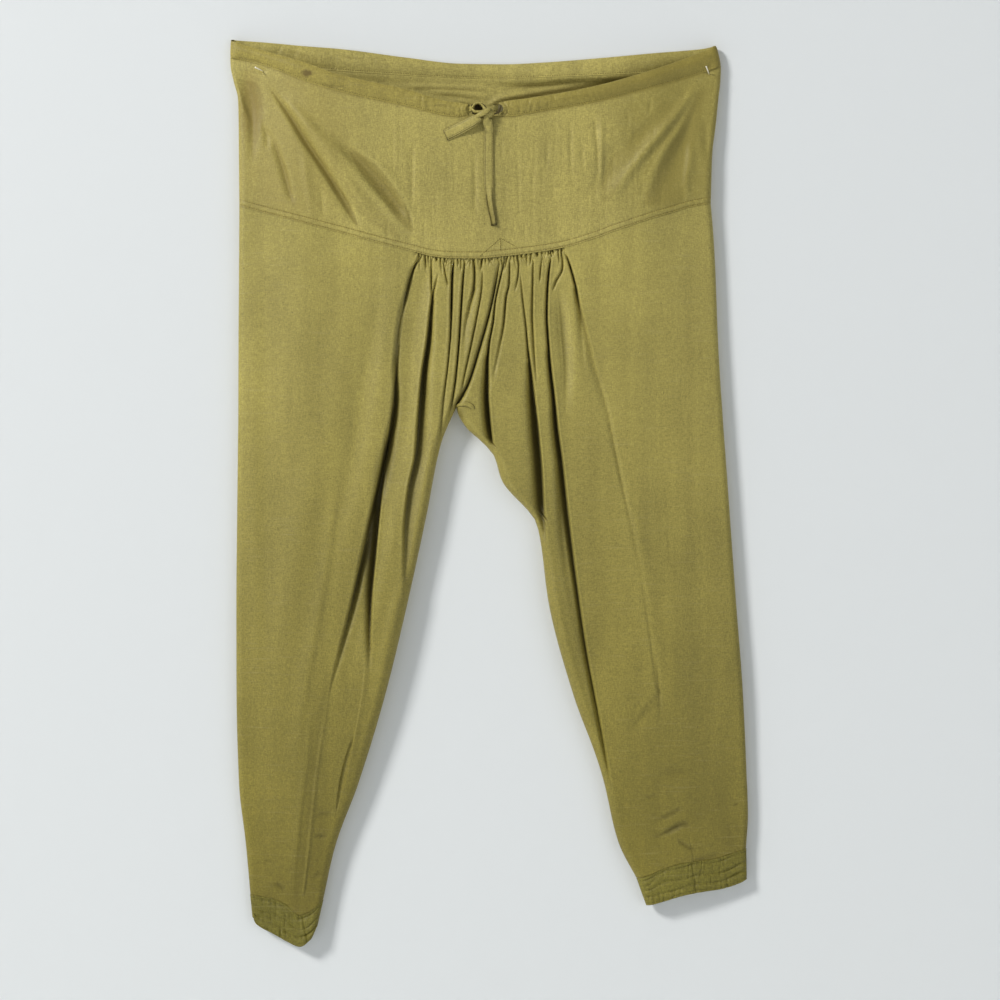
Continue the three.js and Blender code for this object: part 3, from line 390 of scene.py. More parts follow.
LEFT_CREASES = [crease_of(rows) for rows in [
    # the long fold: a flat panel that laps over the cloth beside it
    [(-213, -72.5, -2.5, 2, 2), (-225, -79, -4.5, 1.8, 2.5), (-247, -85.5, -4.5, 1.6, 2.6),
     (-290, -94.5, -3.6, 1.4, 2.6), (-330, -98.6, -3.6, 1.4, 3), (-365, -99.5, -4.4, 1.4, 4.5),
     (-415, -107.5, -6, 1.4, 7), (-455, -116, -6.4, 1.4, 8), (-500, -126, -5, 1.4, 8),
     (-550, -137, -3.8, 1.4, 7), (-600, -148, -2.6, 1.6, 6), (-648, -160, -1.4, 1.6, 5),
     (-700, -172, 0, 1.8, 3), (-775, -185, 1.3, 1.1, 2.8), (-845, -193, 1.6, 1.1, 2.8),
     (-905, -199.5, 1.6, 1.1, 2.6), (-926, -202, 0.9, 1.1, 2)],
    # the dark line under it, where the lower layer starts
    [(-400, -101, 0, 2.5, 1.5), (-425, -108, -3.4, 4, 1.5), (-460, -113.5, -5.4, 6, 1.6),
     (-505, -117.5, -6, 6, 1.6), (-550, -121.5, -5.6, 6, 1.6), (-595, -125.5, -4.6, 5, 1.8),
     (-640, -126.5, -3, 4, 1.8), (-672, -125.5, 0, 3, 2)],
    [(-213, -58.5, -1.5, 1.4, 1.4), (-240, -58, -2.6, 1.4, 1.6), (-262, -57.5, 0, 1.6, 1.6)],
    [(-228, -50, 0, 1.4, 1.4), (-250, -56, -3, 1.6, 2.4), (-268, -58.6, -5, 1.8, 3),
     (-300, -62, -6.4, 1.8, 4.6), (-340, -68, -6.8, 1.8, 6.5), (-385, -72, -5.8, 1.8, 9),
     (-430, -75.5, -4.6, 1.8, 11), (-470, -83.5, -3.8, 1.8, 12), (-520, -88, -3, 1.8, 11),
     (-560, -88, -1.8, 1.8, 9), (-590, -85.5, 0, 2, 7)],
    [(-214, -45.5, -1, 1.2, 1.2), (-232, -42, -2.2, 1.2, 1.2), (-246, -38.5, 0, 1.4, 1.4)],
    [(-213, -32.5, -2.4, 1.4, 1.4), (-232, -35, -6, 1.6, 2.2), (-260, -35.8, -6, 1.6, 2.2),
     (-290, -36.5, -4.4, 1.3, 1.6), (-325, -39, -3, 1.2, 1.4), (-370, -44.5, -2.6, 1.2, 1.4),
     (-410, -48.5, -2.2, 1.2, 1.2), (-440, -55, 0, 1.2, 1.2)],
    [(-213, -20.5, -1.6, 1.2, 1.4), (-237, -23, -4, 1.3, 1.8), (-266, -25, -4.4, 1.3, 2),
     (-300, -27, -4.4, 1.3, 1.8), (-345, -31, -4.4, 1.3, 1.8), (-370, -34.5, -3.6, 1.3, 1.6),
     (-400, -41, 0, 1.3, 1.4)],
    [(-213, -9.5, -1.4, 1.2, 1.4), (-240, -10.6, -3.4, 1.4, 2.6), (-266, -16, -2, 2, 3),
     (-290, -20, -1, 2.4, 3), (-325, -23, 0, 3, 3)],
    [(-222, -0.5, 0, 1.2, 1.2), (-246, -2, -2, 1.4, 1.6), (-275, -7, -2.6, 1.4, 1.8),
     (-310, -14, -2.6, 1.4, 1.8), (-345, -21.5, -2, 1.4, 1.6), (-372, -26, 0, 1.4, 1.4)],
    # lengthways swells and creases of the flat panel
    [(-200, -256, 0, 8, 8), (-330, -256, 1.1, 9, 7), (-480, -256, 1.3, 9, 7), (-640, -254, 0.9, 9, 7),
     (-760, -252, 0, 8, 8)],
    [(-470, -165, 0, 5, 4), (-510, -169, 1.4, 9, 3.4), (-580, -178, 1.6, 10, 3.4),
     (-650, -190, 1.4, 10, 3.4), (-720, -202, 0.8, 9, 4), (-800, -210, 0, 8, 5)],
    [(-240, -150, 0, 14, 14), (-360, -160, 1.4, 18, 14), (-520, -205, 1.6, 20, 16), (-700, -232, 1.2, 16, 16),
     (-860, -238, 0, 12, 12)],
    [(-240, -110, 0, 9, 9), (-330, -128, -1.2, 12, 12), (-460, -150, -1, 12, 12), (-560, -178, 0, 10, 10)],
    [(-700, -190, 0, 3, 3), (-760, -196, 0.9, 5, 3), (-850, -206, 1.2, 6, 2.4), (-925, -213, 0.3, 5, 2)],
    [(-610, -140, 0, 3, 3), (-660, -132, 1, 1.2, 4), (-760, -146, 1.2, 1.2, 4), (-850, -168, 0, 1.6, 4)],
    [(-742, -140, 0, 2, 2), (-760, -150, -1, 1.6, 8), (-800, -160, -1.2, 1.6, 9), (-845, -165, 0, 1.6, 6)],
    [(-560, -88, 0, 5, 4), (-600, -98, 1.2, 6, 5), (-660, -112, 1, 6, 5), (-710, -122, 0, 5, 5)],
]]

RIGHT_CREASES = [crease_of(rows) for rows in [
    [(-214, 23.5, -2, 1.2, 1.4), (-240, 17.5, -4.4, 1.4, 1.6), (-262, 13, -4.4, 1.4, 1.6),
     (-285, 10.6, -4.4, 1.6, 1.6), (-310, 6.2, -5.4, 2, 1.6), (-332, 5, -6.8, 3.4, 1.6),
     (-360, 5, -8, 5, 1.6), (-390, 7, -8, 6, 1.6), (-412, 9.5, -6, 6, 1.6), (-428, 12, 0, 5, 2)],
    [(-214, 29.5, -1.6, 1.2, 1.2), (-240, 28.5, -3, 1.4, 1.8), (-256, 25, -3.4, 1.4, 2),
     (-285, 22.5, -2.8, 1.6, 2), (-310, 18, -1.6, 2, 2.4), (-335, 13.5, -0.8, 2.4, 2.4), (-360, 9, 0, 3, 3)],
    [(-214, 40, -1, 1.2, 1.2), (-232, 38.6, -2.4, 1.3, 1.4), (-250, 35, 0, 1.4, 1.4)],
    [(-226, 41, 0, 1.2, 1.2), (-255, 43.5, -2, 1.2, 1.4), (-285, 47, -2.6, 1.3, 1.5),
     (-315, 50, -4.4, 2, 1.4), (-340, 53.5, -6.4, 3.6, 1.4), (-365, 56.5, -7.6, 6, 1.4),
     (-400, 60.5, -8, 8, 1.5), (-450, 65, -7.4, 9, 1.5), (-500, 67.5, -6, 9, 1.5), (-535, 69.5, 0, 8, 2)],
    [(-214, 55.5, -1.4, 1.2, 1.2), (-242, 55, -2.6, 1.6, 1.6), (-275, 54.5, -2.8, 2, 1.8),
     (-300, 55.6, -2.4, 2, 1.8), (-330, 57.5, -1.6, 1.8, 1.6), (-356, 60, 0, 1.6, 1.6)],
    [(-213, 65.5, -1, 1.2, 1.2), (-228, 63.5, -2.2, 1.3, 1.3), (-240, 63, 0, 1.4, 1.4)],
    [(-213, 75, -2.4, 1.4, 1.4), (-230, 73, -5.6, 2, 1.5), (-252, 71.5, -5.6, 2.2, 1.5),
     (-275, 71, -5.6, 2.4, 1.5), (-305, 72.7, -6, 2.6, 1.5), (-338, 75.6, -7, 3, 1.5),
     (-365, 79, -7.4, 3.6, 1.5), (-400, 82.5, -7.4, 5, 1.5), (-440, 88, -7, 6, 1.5),
     (-480, 92.5, -6.6, 6.5, 1.5), (-530, 98.5, -5.6, 6, 1.5), (-570, 103.5, -4.8, 5, 1.5),
     (-650, 115, -4, 4, 1.5), (-720, 128, -3.4, 3.4, 1.5), (-775, 138, -2, 3, 1.6), (-805, 143, 0, 3, 2)],
    [(-209, 89, -1, 1.4, 1.4), (-224, 88, -2.6, 1.6, 1.8), (-238, 81, -2.4, 1.8, 2), (-250, 77, 0, 2, 2)],
    [(-208, 92.6, -2, 1.4, 1.4), (-224, 98, -5, 2, 1.6), (-244, 103.5, -5, 2.6, 1.4),
     (-266, 108, -3.4, 4, 1.3), (-290, 114, -2.4, 6, 1.3), (-330, 124, -1.6, 6, 1.4),
     (-375, 137.6, -1.2, 5, 1.4), (-450, 152.5, -1.3, 3, 2), (-505, 164, -1.2, 3, 3),
     (-570, 177, -0.9, 3, 5), (-650, 188, -1, 2.4, 5), (-720, 197.6, 0, 2.4, 4)],
    [(-240, 84, 0, 5, 5), (-290, 88.5, -2.4, 6, 7), (-340, 92, -2, 6, 7), (-395, 91, 0, 5, 6)],
    [(-268, 107, 0, 3, 3), (-300, 109.5, -1, 4, 3), (-345, 113, 0, 4, 3)],
    # lengthways swells of the flat panel
    [(-230, 190, 0, 16, 16), (-400, 194, -1.4, 18, 18), (-520, 200, -1, 16, 16), (-640, 208, 0, 14, 14)],
    [(-230, 236, 0, 12, 12), (-380, 245, 1.4, 16, 12), (-560, 258, 1.6, 16, 12), (-760, 272, 0, 12, 12)],
    [(-420, 158, 0, 10, 8), (-520, 172, 1.4, 14, 7), (-600, 184, 1.4, 14, 6), (-680, 194, 0, 10, 6)],
    [(-440, 82, 0, 4, 3), (-520, 88, -1.8, 5, 4), (-600, 100, -1.2, 5, 4), (-690, 118, 0, 4, 4)],
    [(-540, 76, 0, 4, 4), (-600, 84, 1.4, 5, 5), (-680, 104, 1.2, 5, 5), (-760, 130, 0, 4, 4)],
    [(-655, 193, 0, 2, 2), (-690, 196, -1, 1.8, 1.8), (-725, 198, 0, 2, 2)],
    [(-850, 228.5, 0, 1.1, 1.1), (-868, 232, -0.4, 1.1, 1.1), (-884, 235.4, -0.5, 1.1, 1.1),
     (-893, 237, -0.2, 1.1, 1.1)],
]]


def wrinkle_of(rows):
    """A wrinkle that runs across: x, z, height, reach above, reach below."""
    return line_of(rows, ("z", "height", "above", "below"))


def wrinkles_at(wrinkles, x, z):
    height = np.zeros_like(x)
    for wrinkle in wrinkles:
        off = z - wrinkle["z"](x)
        reach = np.where(off > 0, wrinkle["above"](x), wrinkle["below"](x))
        inside = within(wrinkle["low"], wrinkle["high"], WRINKLE_END, x)
        height += wrinkle["height"](x) * bell(off / reach) * inside
    return height


LEG_WRINKLES = [wrinkle_of(rows) for rows in [
    [(161, -742, 0, 3, 3), (172, -728, -1.6, 3, 2.4), (184, -717, -1.4, 3, 2.4), (204, -706, 0, 3, 3)],
    [(171, -724, 0, 3, 3), (182, -713, -1.5, 3, 2.4), (192, -702, -1.5, 3, 2.4), (203, -690, 0, 3, 3)],
    [(164, -721, 0, 3, 3), (174, -707, -1, 3, 2.4), (180, -700, 0, 3, 3)],
    [(166, -671, 0, 2, 2), (176, -669, -1, 2.4, 2), (190, -666, 0, 2, 2)],
    [(150, -699, 0, 2, 2), (168, -700, -0.8, 2.4, 2), (188, -696, 0, 2, 2)],
    [(190, -789, 0, 6, 5), (212, -786, -1, 7, 5), (240, -784, 0, 6, 5)],
    [(191, -841, 0, 2, 2), (206, -835, -2, 2.2, 2), (218, -829, -1.8, 2.2, 2), (223, -826, 0, 2, 2)],
    [(186, -861, 0, 2, 2), (200, -856, -2, 2.4, 2), (214, -849, -3.4, 3.2, 2.4),
     (226, -845, -2.6, 3, 2.4), (232, -847, 0, 2, 2)],
    [(216, -862, 0, 2, 2), (222, -866, -2.2, 2.4, 2.4), (232, -872, -2, 2.6, 2), (239, -874, 0, 2, 2)],
    [(172, -819, 0, 1.6, 1.6), (186, -814, -1.2, 1.6, 1.4), (204, -808, 0, 1.6, 1.6)],
    [(192, -824, 0, 1.4, 1.4), (201, -826, -1.1, 1.4, 1.2), (209, -826, 0, 1.4, 1.4)],
    [(279, -824, 0, 1, 1), (283, -823, -1.8, 1, 1), (287, -821, 0, 1, 1)],
    [(231, -885, 0, 1.4, 1.4), (240, -884, -2, 1.6, 1.4), (256, -881, -2.2, 1.6, 1.4),
     (270, -878, 0, 1.4, 1.4)],
    [(-172, -556, 0, 2, 2), (-156, -553, -0.7, 2.4, 2), (-139, -556, 0, 2, 2)],
    [(-188, -836, 0, 1.6, 1.6), (-178, -832, -1.6, 1.8, 1.4), (-166, -834, 0, 1.6, 1.6)],
    [(-190, -860, 0, 1.6, 1.6), (-182, -858, -2.2, 1.8, 1.6), (-173, -858, 0, 1.6, 1.6)],
    [(-193, -905, 0, 2, 2), (-184, -901, -1.2, 2.4, 2), (-176, -899, 0, 2, 2)],
    [(-236, -911, 0, 1.6, 1.6), (-228, -915, -2.8, 2, 1.8), (-220, -919, 0, 1.6, 1.6)],
    [(-248, -884, 0, 1.6, 1.6), (-240, -887, -1.4, 1.6, 1.4), (-232, -889, 0, 1.6, 1.6)],
]]

# The back's gathers: shares of the leg's width from the inner edge, at the top and low down; foot; height
BACK_FOLDS = [
    (0.04, 0.08, -350, 2.6),
    (0.075, 0.12, -330, 2),
    (0.12, 0.16, -430, 3.5),
    (0.155, 0.2, -380, 2.2),
    (0.19, 0.25, -560, 4),
    (0.235, 0.31, -420, 2.4),
    (0.27, 0.38, -700, 4.5),
    (0.315, 0.46, -480, 2.2),
    (0.36, 0.56, -860, 5),
]
BACK_FOLD_WIDTH = 0.022  # as a share of the leg's width


def puckers(seed, start, stop, steps, depths, reaches, widths=(0.8, 1.3), leans=(0, 0)):
    """Small upright puckers under a gathered seam: place, depth, reach down, width and lean."""
    chance = random.Random(seed)
    made = []
    x = start
    while x < stop:
        made.append((x, *(chance.uniform(*limits) for limits in (depths, reaches, widths, leans))))
        x += chance.uniform(*steps)
    return made


DEEPEN = 1.9  # a leg's creases sink in this much further than their tables say
DEEPEST = 16
HELD_RELIEF = 0.45  # the share of its folds that the cloth keeps where the yoke seam holds it
FAN_FROM, FAN = 10, 0.0006  # the puckers lean away from this place, by this much more the further they are
FRONT_PUCKERS = puckers(4, -75, 92, (2.6, 6.2), (1.6, 5), (6, 24), (0.7, 1.3), (-0.22, 0.22))
FRONT_CRUMPLES = puckers(14, -74, 91, (1.8, 5.5), (1, 3), (3, 13), (0.6, 1.1), (-0.9, 0.9))
BACK_PUCKERS = puckers(9, -95, 130, (4, 8), (0.4, 1.4), (10, 40))


def puckers_at(made, x, under):
    height = np.zeros_like(x)
    for place, depth, reach, width, lean in made:
        fan = place + ((place - FAN_FROM) * FAN + lean) * under
        run = (1 - ease(reach * 0.3, reach, under)) * ease(-0.6, 1, under)
        height -= depth * bell((x - fan) / width) * run
    return height


def leg_relief(leg, x, z):
    under = yoke_seam_z(x) - z
    creases = LEFT_CREASES if leg is LEFT else RIGHT_CREASES
    sunk = relief_of(creases, x, z, crisp=0.7, lip=0.6)
    height = np.where(sunk < 0, np.maximum(sunk * DEEPEN, -DEEPEST), sunk) + wrinkles_at(LEG_WRINKLES, x, z)
    height += long_swell(leg, x, z)
    height = height * mix(HELD_RELIEF, 1, ease(0, 9, under))
    height += puckers_at(FRONT_PUCKERS, x, under) + puckers_at(FRONT_CRUMPLES, x, under)
    height = np.maximum(height, -DEEPEST - 3)
    return height * (1 - ease(leg["foot"] + 12, leg["foot"], z))


def long_swell(leg, x, z):
    """The panel beside the long fold stands out, and the cloth past the fold lies lower."""
    off = (x - leg["long_fold"](z)) * leg["side"]
    widen = mix(1, 1.6, np.clip((leg["top"] - z) / (leg["top"] - leg["foot"]), 0, 1))
    calm = 1 - ease(leg["foot"] + 24, leg["foot"], z)
    start = ease(leg["top"], leg["top"] - 30, z)
    swell = bell((off + 14 * widen) / (16 * widen)) * leg["swell"]
    step = mix(leg["step"], 0, ease(-580, -750, z))
    under = ease(-0.6, 1, off) * (1 - ease(12, 34, off)) * step
    return (swell - under) * calm * start


def back_relief(leg, x, z):
    outer, inner = leg["outer"](z), leg["inner"](z)
    share = (x - inner) / (outer - inner)
    down = np.clip((leg["top"] - z) / (leg["top"] - leg["foot"]), 0, 1)
    height = np.zeros_like(x)
    for top, low, foot, tall in BACK_FOLDS:
        at = mix(top, low, down**0.7)
        strength = mix(0.3, 1, ease(leg["top"], leg["top"] - 26, z)) * (1 - ease(foot + 80, foot, z))
        height += tall * strength * bell((share - at) / (BACK_FOLD_WIDTH * mix(1, 1.6, down)))
    height += puckers_at(BACK_PUCKERS, x, yoke_seam_z(x) - z)
    return height * (1 - ease(leg["foot"] + 45, leg["foot"], z))


# How far a leg's top lies under the yoke seam's line, and how far its foot goes into the cuff
TOP_LAP, FOOT_LAP = 0.2, 0.5


def leg_z(leg, x, nominal):
    """A leg's real height at a nominal one: its top follows the yoke seam and its foot the cuff."""
    top = yoke_seam_z(x) - TOP_LAP - leg["top"]
    foot = leg["cuff_z"](x) - FOOT_LAP - leg["foot"]
    near_top = 1 - ease(leg["top"], leg["top"] - 170, nominal)
    near_foot = ease(leg["foot"] + 150, leg["foot"], nominal)
    return nominal + top * near_top + foot * near_foot


def inner_x(leg, nominal):
    return leg["inner"](nominal) - leg["side"] * SEAM_LEAN / 2


# The creases that a front's columns run along, so that a sharp one isn't cut up by them. Each is its share
# of the way from the inner edge to the long fold, its crease, the heights between which the columns turn
# to it, and the least gap left to the guide or edge inside it
GUIDES = {
    "left": [],
    "right": [
        (0.184, RIGHT_CREASES[0], -335, -372, 3),
        (0.476, RIGHT_CREASES[3], -345, -395, 5),
        (0.617, RIGHT_CREASES[6], -345, -395, 4),
    ],
}


def guided(leg, nominal, fold, stop, share):
    """Places between the inner edge, share 0, and the long fold, share 1, along the creases between."""
    side = leg["side"]
    at, place = 0, stop
    x = np.zeros_like(nominal)
    for next_share, crease, start, full, gap in [*GUIDES[leg["name"]], (1, None, 0, 0, 0)]:
        plain = mix(stop, fold, next_share)
        if crease:
            drawn = mix(plain, crease["x"](nominal), ease(start, full, nominal))
            near = np.maximum((place - drawn) * side, gap)
            near = np.minimum(near, (place - fold) * side * 0.8)
            following = place - near * side
        else:
            following = fold
        here = (share >= at) & (share <= next_share)
        x = np.where(here, mix(place, following, (share - at) / (next_share - at)), x)
        at, place = next_share, following
    return x


LEG_TURN = 0.05  # the share of a leg's columns that goes round each of its sides
INNER_WIDE = INNER_ROLL * 0.6  # the width that they take up at its inner one
FLAT_CROWD = 0.75  # under 1, the flat part's columns crowd towards the long fold


def leg_columns(leg, nominal, u, fold_share, by_creases=False):
    """Places across a leg for u from 0 at its outer side to 1 at its inner one."""
    outer, inner = leg["outer"](nominal), inner_x(leg, nominal)
    side = leg["side"]
    roll = ROLL_SHAPE * depth_here(outer, leg_z(leg, outer, nominal)) / 2
    start = outer + side * roll
    stop = inner - side * INNER_WIDE
    fold = leg["long_fold"](nominal)
    flat = mix(start, fold, np.clip((u - LEG_TURN) / (fold_share - LEG_TURN), 0, 1) ** FLAT_CROWD)
    inward = np.clip((u - fold_share) / (1 - LEG_TURN - fold_share), 0, 1)
    folded = guided(leg, nominal, fold, stop, 1 - inward) if by_creases else mix(fold, stop, inward)
    x = np.where(u < fold_share, flat, folded)
    x = np.where(u < LEG_TURN, outer + side * roll * turned(u, LEG_TURN), x)
    return np.where(u > 1 - LEG_TURN, inner - side * INNER_WIDE * turned(1 - u, LEG_TURN), x)


def leg_point(leg, x, nominal, front):
    z = leg_z(leg, x, nominal)
    outer, inner = leg["outer"](nominal), inner_x(leg, nominal)
    relief = leg_relief(leg, x, z) if front else back_relief(leg, x, z)
    level = front_face(x, z) if front else np.full_like(x, -BACK_STAND)
    half = -SEAM_HALF if front else SEAM_HALF
    flat = front_face(inner, z) if front else -BACK_STAND
    tuck = tuck_front(nominal) if front else tuck_back(nominal)
    inner_edge = mix(flat, middle(inner, z) + half, tuck)
    widest = mix(SEAM_ROLL if front else INNER_ROLL, INNER_ROLL, ease(CROTCH_Z + 30, CROTCH_Z - 20, nominal))
    y = rolled(np.abs(x - inner), inner_edge, level - relief, widest)
    return x, rolled(np.abs(x - outer), middle(outer, z) + half, y), z


def new_mesh(name, bm):
    mesh = bpy.data.meshes.new(name)
    bm.to_mesh(mesh)
    bm.free()
    for polygon in mesh.polygons:
        polygon.use_smooth = True
    piece = bpy.data.objects.new(name, mesh)
    bpy.context.scene.collection.objects.link(piece)
    return piece


def cloth(name, columns, rows, place, thickness=CLOTH, closed=False, deep=None):
    """A sheet of cloth: a flat grid whose points are moved to place(u, v), with a thin wall.

    deep(x, y, z), or place's own fourth value, gives each point a painted shade from 0 to 1,
    which the finish darkens its colour by; mostly it is how far down in a fold the point is.
    """
    bm = bmesh.new()
    bmesh.ops.create_grid(bm, x_segments=columns, y_segments=rows, size=0.5)
    bm.verts.ensure_lookup_table()
    flat = np.array([vert.co[:2] for vert in bm.verts]) + 0.5
    x, y, z, *marks = place(flat[:, 0], flat[:, 1])
    if deep is not None:
        marks = [deep(x, y, z)]
    depths = marks[0] if marks else x * 0
    layer = bm.verts.layers.float.new("fold_depth")
    for vert, at, depth in zip(bm.verts, np.stack([x, y, z], 1) * MM, depths):
        vert.co = at
        vert[layer] = depth
    if closed:
        bmesh.ops.remove_doubles(bm, verts=bm.verts, dist=1e-6)
    piece = new_mesh(name, bm)
    wall = piece.modifiers.new("wall", "SOLIDIFY")
    wall.thickness = thickness * MM
    wall.offset = 0
    return piece


# Share of a leg's rows, share of its length: the rows are closest under the gathers
row_share = curve([(0, 0), (0.12, 0.04), (0.35, 0.2), (0.74, 0.8), (1, 1)])

# The share of a leg's columns that its flat side has, at the front, and at the back and the cuff
FRONT_FOLD_SHARE, BACK_FOLD_SHARE = 0.27, 0.5
LOW_FOLD_SHADE = 0.45  # how much of the folds' painted shade is left near a leg's foot


def leg_panel(leg, front):
    def place(u, v):
        nominal = mix(leg["top"], leg["foot"], row_share(v))
        x = leg_columns(leg, nominal, u, FRONT_FOLD_SHARE if front else BACK_FOLD_SHARE, by_creases=front)
        return leg_point(leg, x, nominal, front)

    def deep(x, y, z):
        """How dark a point's painted shade is: how far down in the folds it is, with darker lines along the
        seams and creases.
        """
        sunk = ease(1.6, 9.5, y - front_face(x, z))
        # The folds' painted shade fades out near the outer side and, below the crotch, near the inner one
        from_inner = ease(3, 12, np.abs(x - leg["inner"](z)))
        below = ease(CROTCH_Z + 6, CROTCH_Z - 10, z)
        calm = ease(14, 40, np.abs(x - leg["outer"](z))) * mix(1, from_inner, below)
        off = (x - leg["long_fold"](z)) * leg["side"]
        calm *= mix(1, LOW_FOLD_SHADE, ease(-640, -760, z))
        # Painted shade in lines: under the yoke seam, along the centre seam, past and on the long fold's
        # lower end,
        # in the wrinkles, and under the crotch's raw edge
        yoke_line = bell((yoke_seam_z(x) - z) / 1.2) * 0.5
        between = ease(-222, -250, z) * ease(CROTCH_Z - 4, CROTCH_Z + 6, z)
        wide = mix(*leg["seam_line"], ease(-345, -374, z))
        centre_line = bell((x - leg["inner"](z)) / wide) * between
        past_fold = ease(0, 1.4, off) * (1 - ease(13, 22, off)) * ease(-790, -850, z) * leg["past_fold"]
        on_fold = bell((off + 6) / 5) * ease(-650, -720, z) * leg["on_fold"]
        wrinkled = np.clip(-wrinkles_at(LEG_WRINKLES, x, z) * 0.2, 0, 0.5)
        under_edge = bell((x + 25) / 4) * bell((z + 386) / 7) * leg["under_edge"]
        lines = yoke_line + centre_line + past_fold + on_fold + wrinkled + under_edge
        return np.clip(sunk * calm + lines, 0, 1)

    name = f"{leg['name']}_leg_{'front' if front else 'back'}_cloth"
    if front:
        return cloth(name, *GRIDS["leg_front"], place, deep=deep)
    return cloth(name, *GRIDS["leg_back"], place)


SEAM_ROWS = [0.8, 6.6]  # heights of the two rows of stitching above the yoke seam
SEAM_BAND = 0.55  # how far the doubled cloth between them stands out
ROW_GROOVE = 0.8  # how deep each row draws in
YOKE_DEEPEN = 1.15  # the yoke's creases are this much higher and deeper than their tables say


def fine_lines(seed, count):
    """Fine upright lines pressed into the yoke: x, middle height, half length, depth and width."""
    chance = random.Random(seed)
    spans = ((-110, 200), (-190, -60), (6, 30), (0.2, 0.7), (0.5, 1.1))
    return [tuple(chance.uniform(*span) for span in spans) for _ in range(count)]


FINE_LINES = fine_lines(12, 120)


def seam_nips(seed, start, stop):
    """Small nips that the stitching draws into the yoke seam's band: place, depth, width and lean."""
    chance = random.Random(seed)
    made = []
    x = start
    while x < stop:
        made.append((x, chance.uniform(0.15, 0.6), chance.uniform(0.5, 1.1), chance.uniform(-0.5, 0.5)))
        x += chance.uniform(3, 9)
    return made


SEAM_NIPS = seam_nips(17, -262, 246)

# Where the pins go through the front cloth, and where their heads are from there
PINS = [
    ("pin_left", -247.2, -1.2, (-7.4, -11.5, 2)),
    ("pin_right", 253.1, -4.2, (-4.2, -11.8, 6.4)),
]
PIN_DIMPLE, PIN_DIMPLE_REACH = 1.6, 3.2


def yoke_y(x, z):
    from_seam = z - yoke_seam_z(x)
    from_top = front_foot(x) - z
    soft = ease(0, 14, from_seam) * ease(-1, 12, from_top)
    height = relief_of(YOKE_CREASES, x, z, crisp=0.8) * YOKE_DEEPEN * soft
    height += SEAM_BAND * (1 - ease(SEAM_ROWS[1], SEAM_ROWS[1] + 1.2, from_seam))
    for row in SEAM_ROWS:
        height -= ROW_GROOVE * bell((from_seam - row) / 0.9)
    for _, pin_x, pin_z, _ in PINS:
        away = np.hypot(x - pin_x, z - pin_z)
        height -= PIN_DIMPLE * bell(away / PIN_DIMPLE_REACH)
    for line_x, line_z, half, sunk, width in FINE_LINES:
        height -= sunk * bell((x - line_x) / width) * bell((z - line_z) / half) * soft
    for nip_x, sunk, width, lean in SEAM_NIPS:
        height -= sunk * bell((x - nip_x - lean * from_seam) / width) * bell((from_seam - 3.6) / 5)
    return front_face(x, z) - height


# Painted shade of the yoke's flat facets that turn away from the light: strength, then z, left side and right
# side
YOKE_FACETS = [
    (0.5, [(-23, -238.8, -237.2), (-51, -222, -216), (-76.7, -208, -198.4), (-99, -192, -183),
           (-121.5, -179, -169.3), (-143.9, -164, -153), (-176.4, -142.4, -138.8)]),
    (0.36, [(-90.2, -150.6, -147.3), (-103.6, -145, -124.9), (-121.5, -133.8, -108.1),
            (-143.9, -115.5, -91.7), (-164.1, -100.2, -81.9), (-182, -83.4, -78.3)]),
    (0.42, [(-9.5, -272.7, -269.4), (-16.2, -264.9, -252.6), (-34.2, -262.6, -248.1),
            (-52.1, -262.6, -245.8), (-65.5, -262, -248.1), (-79, -260.4, -252.6), (-101.4, -259.7, -257)]),
    (0.4, [(-79, -235.5, -232.8), (-96.9, -231.3, -226.1), (-114.8, -225.7, -219),
           (-132.7, -221.2, -214.5), (-155.1, -212.2, -209.5)]),
    (0.16, [(-123.8, -154, -142.8), (-141.7, -154, -127.1), (-159.6, -140.6, -113.7),
            (-177.5, -118.2, -100.2), (-191, -100.2, -91.3)]),
    (0.34, [(-21.1, 241.5, 248.1), (-41.6, 232.2, 244.7), (-60.3, 222.3, 243.3), (-77.1, 212.6, 238.8),
            (-93.9, 203.3, 231.3), (-108.8, 195.4, 229.4), (-127.5, 188.7, 226.6), (-144.3, 180.9, 223.8),
            (-155.5, 178.1, 212.6)]),
    (0.2, [(-36, 199.5, 223.8), (-52.9, 184.6, 210.8), (-69.7, 169.7, 194), (-86.5, 156.6, 180.9),
            (-101.4, 141.7, 166), (-120, 134.2, 154.8), (-138.7, 131.4, 147.3), (-149.9, 130.5, 139.8)]),
    (0.22, [(-58.4, 244.3, 253.7), (-73.4, 241.5, 255.6), (-88.3, 242.5, 255.1), (-101.4, 248.1, 254.6),
            (-120, 250, 254)]),
]
FACET_EDGE = 1.2
FACET_END = 4


def facet_shade(x, z):
    shade = np.zeros_like(x)
    for strength, rows in YOKE_FACETS:
        left, right = curve(rows, 1)(z), curve(rows, 2)(z)
        low, high = min(row[0] for row in rows), max(row[0] for row in rows)
        inside = within(left, right, FACET_EDGE, x) * within(low + 1, high - 1, FACET_END, z)
        shade = np.maximum(shade, strength * inside)
    return shade


def yoke_painted_shade(x, y, z):
    """Painted shade on the front yoke's pulls, facets, seam stitching and the strip under its casing."""
    from_seam = z - yoke_seam_z(x)
    down = y - front_face(x, z)
    sunk = ease(1, 1.9, down) * 0.07 + ease(2.6, 3.8, down) * 0.1 + facet_shade(x, z)
    at_sides = ease(8, 20, x - outer_left(z)) * ease(8, 20, outer_right(z) - x)
    rows = sum(bell((from_seam - row) / 0.8) for row in SEAM_ROWS) * 0.38
    under_casing = bell((front_foot(x) - z) / 2.2) * 0.4
    return np.clip(sunk * at_sides + rows + under_casing, 0, 1)


YOKE_TURN = 0.03  # the share of the front yoke's columns that goes round each side
# The rows are closer near the yoke seam: this share of them covers that share of the height
PLAIN_ROWS, PLAIN_HEIGHT = 0.85, 0.93


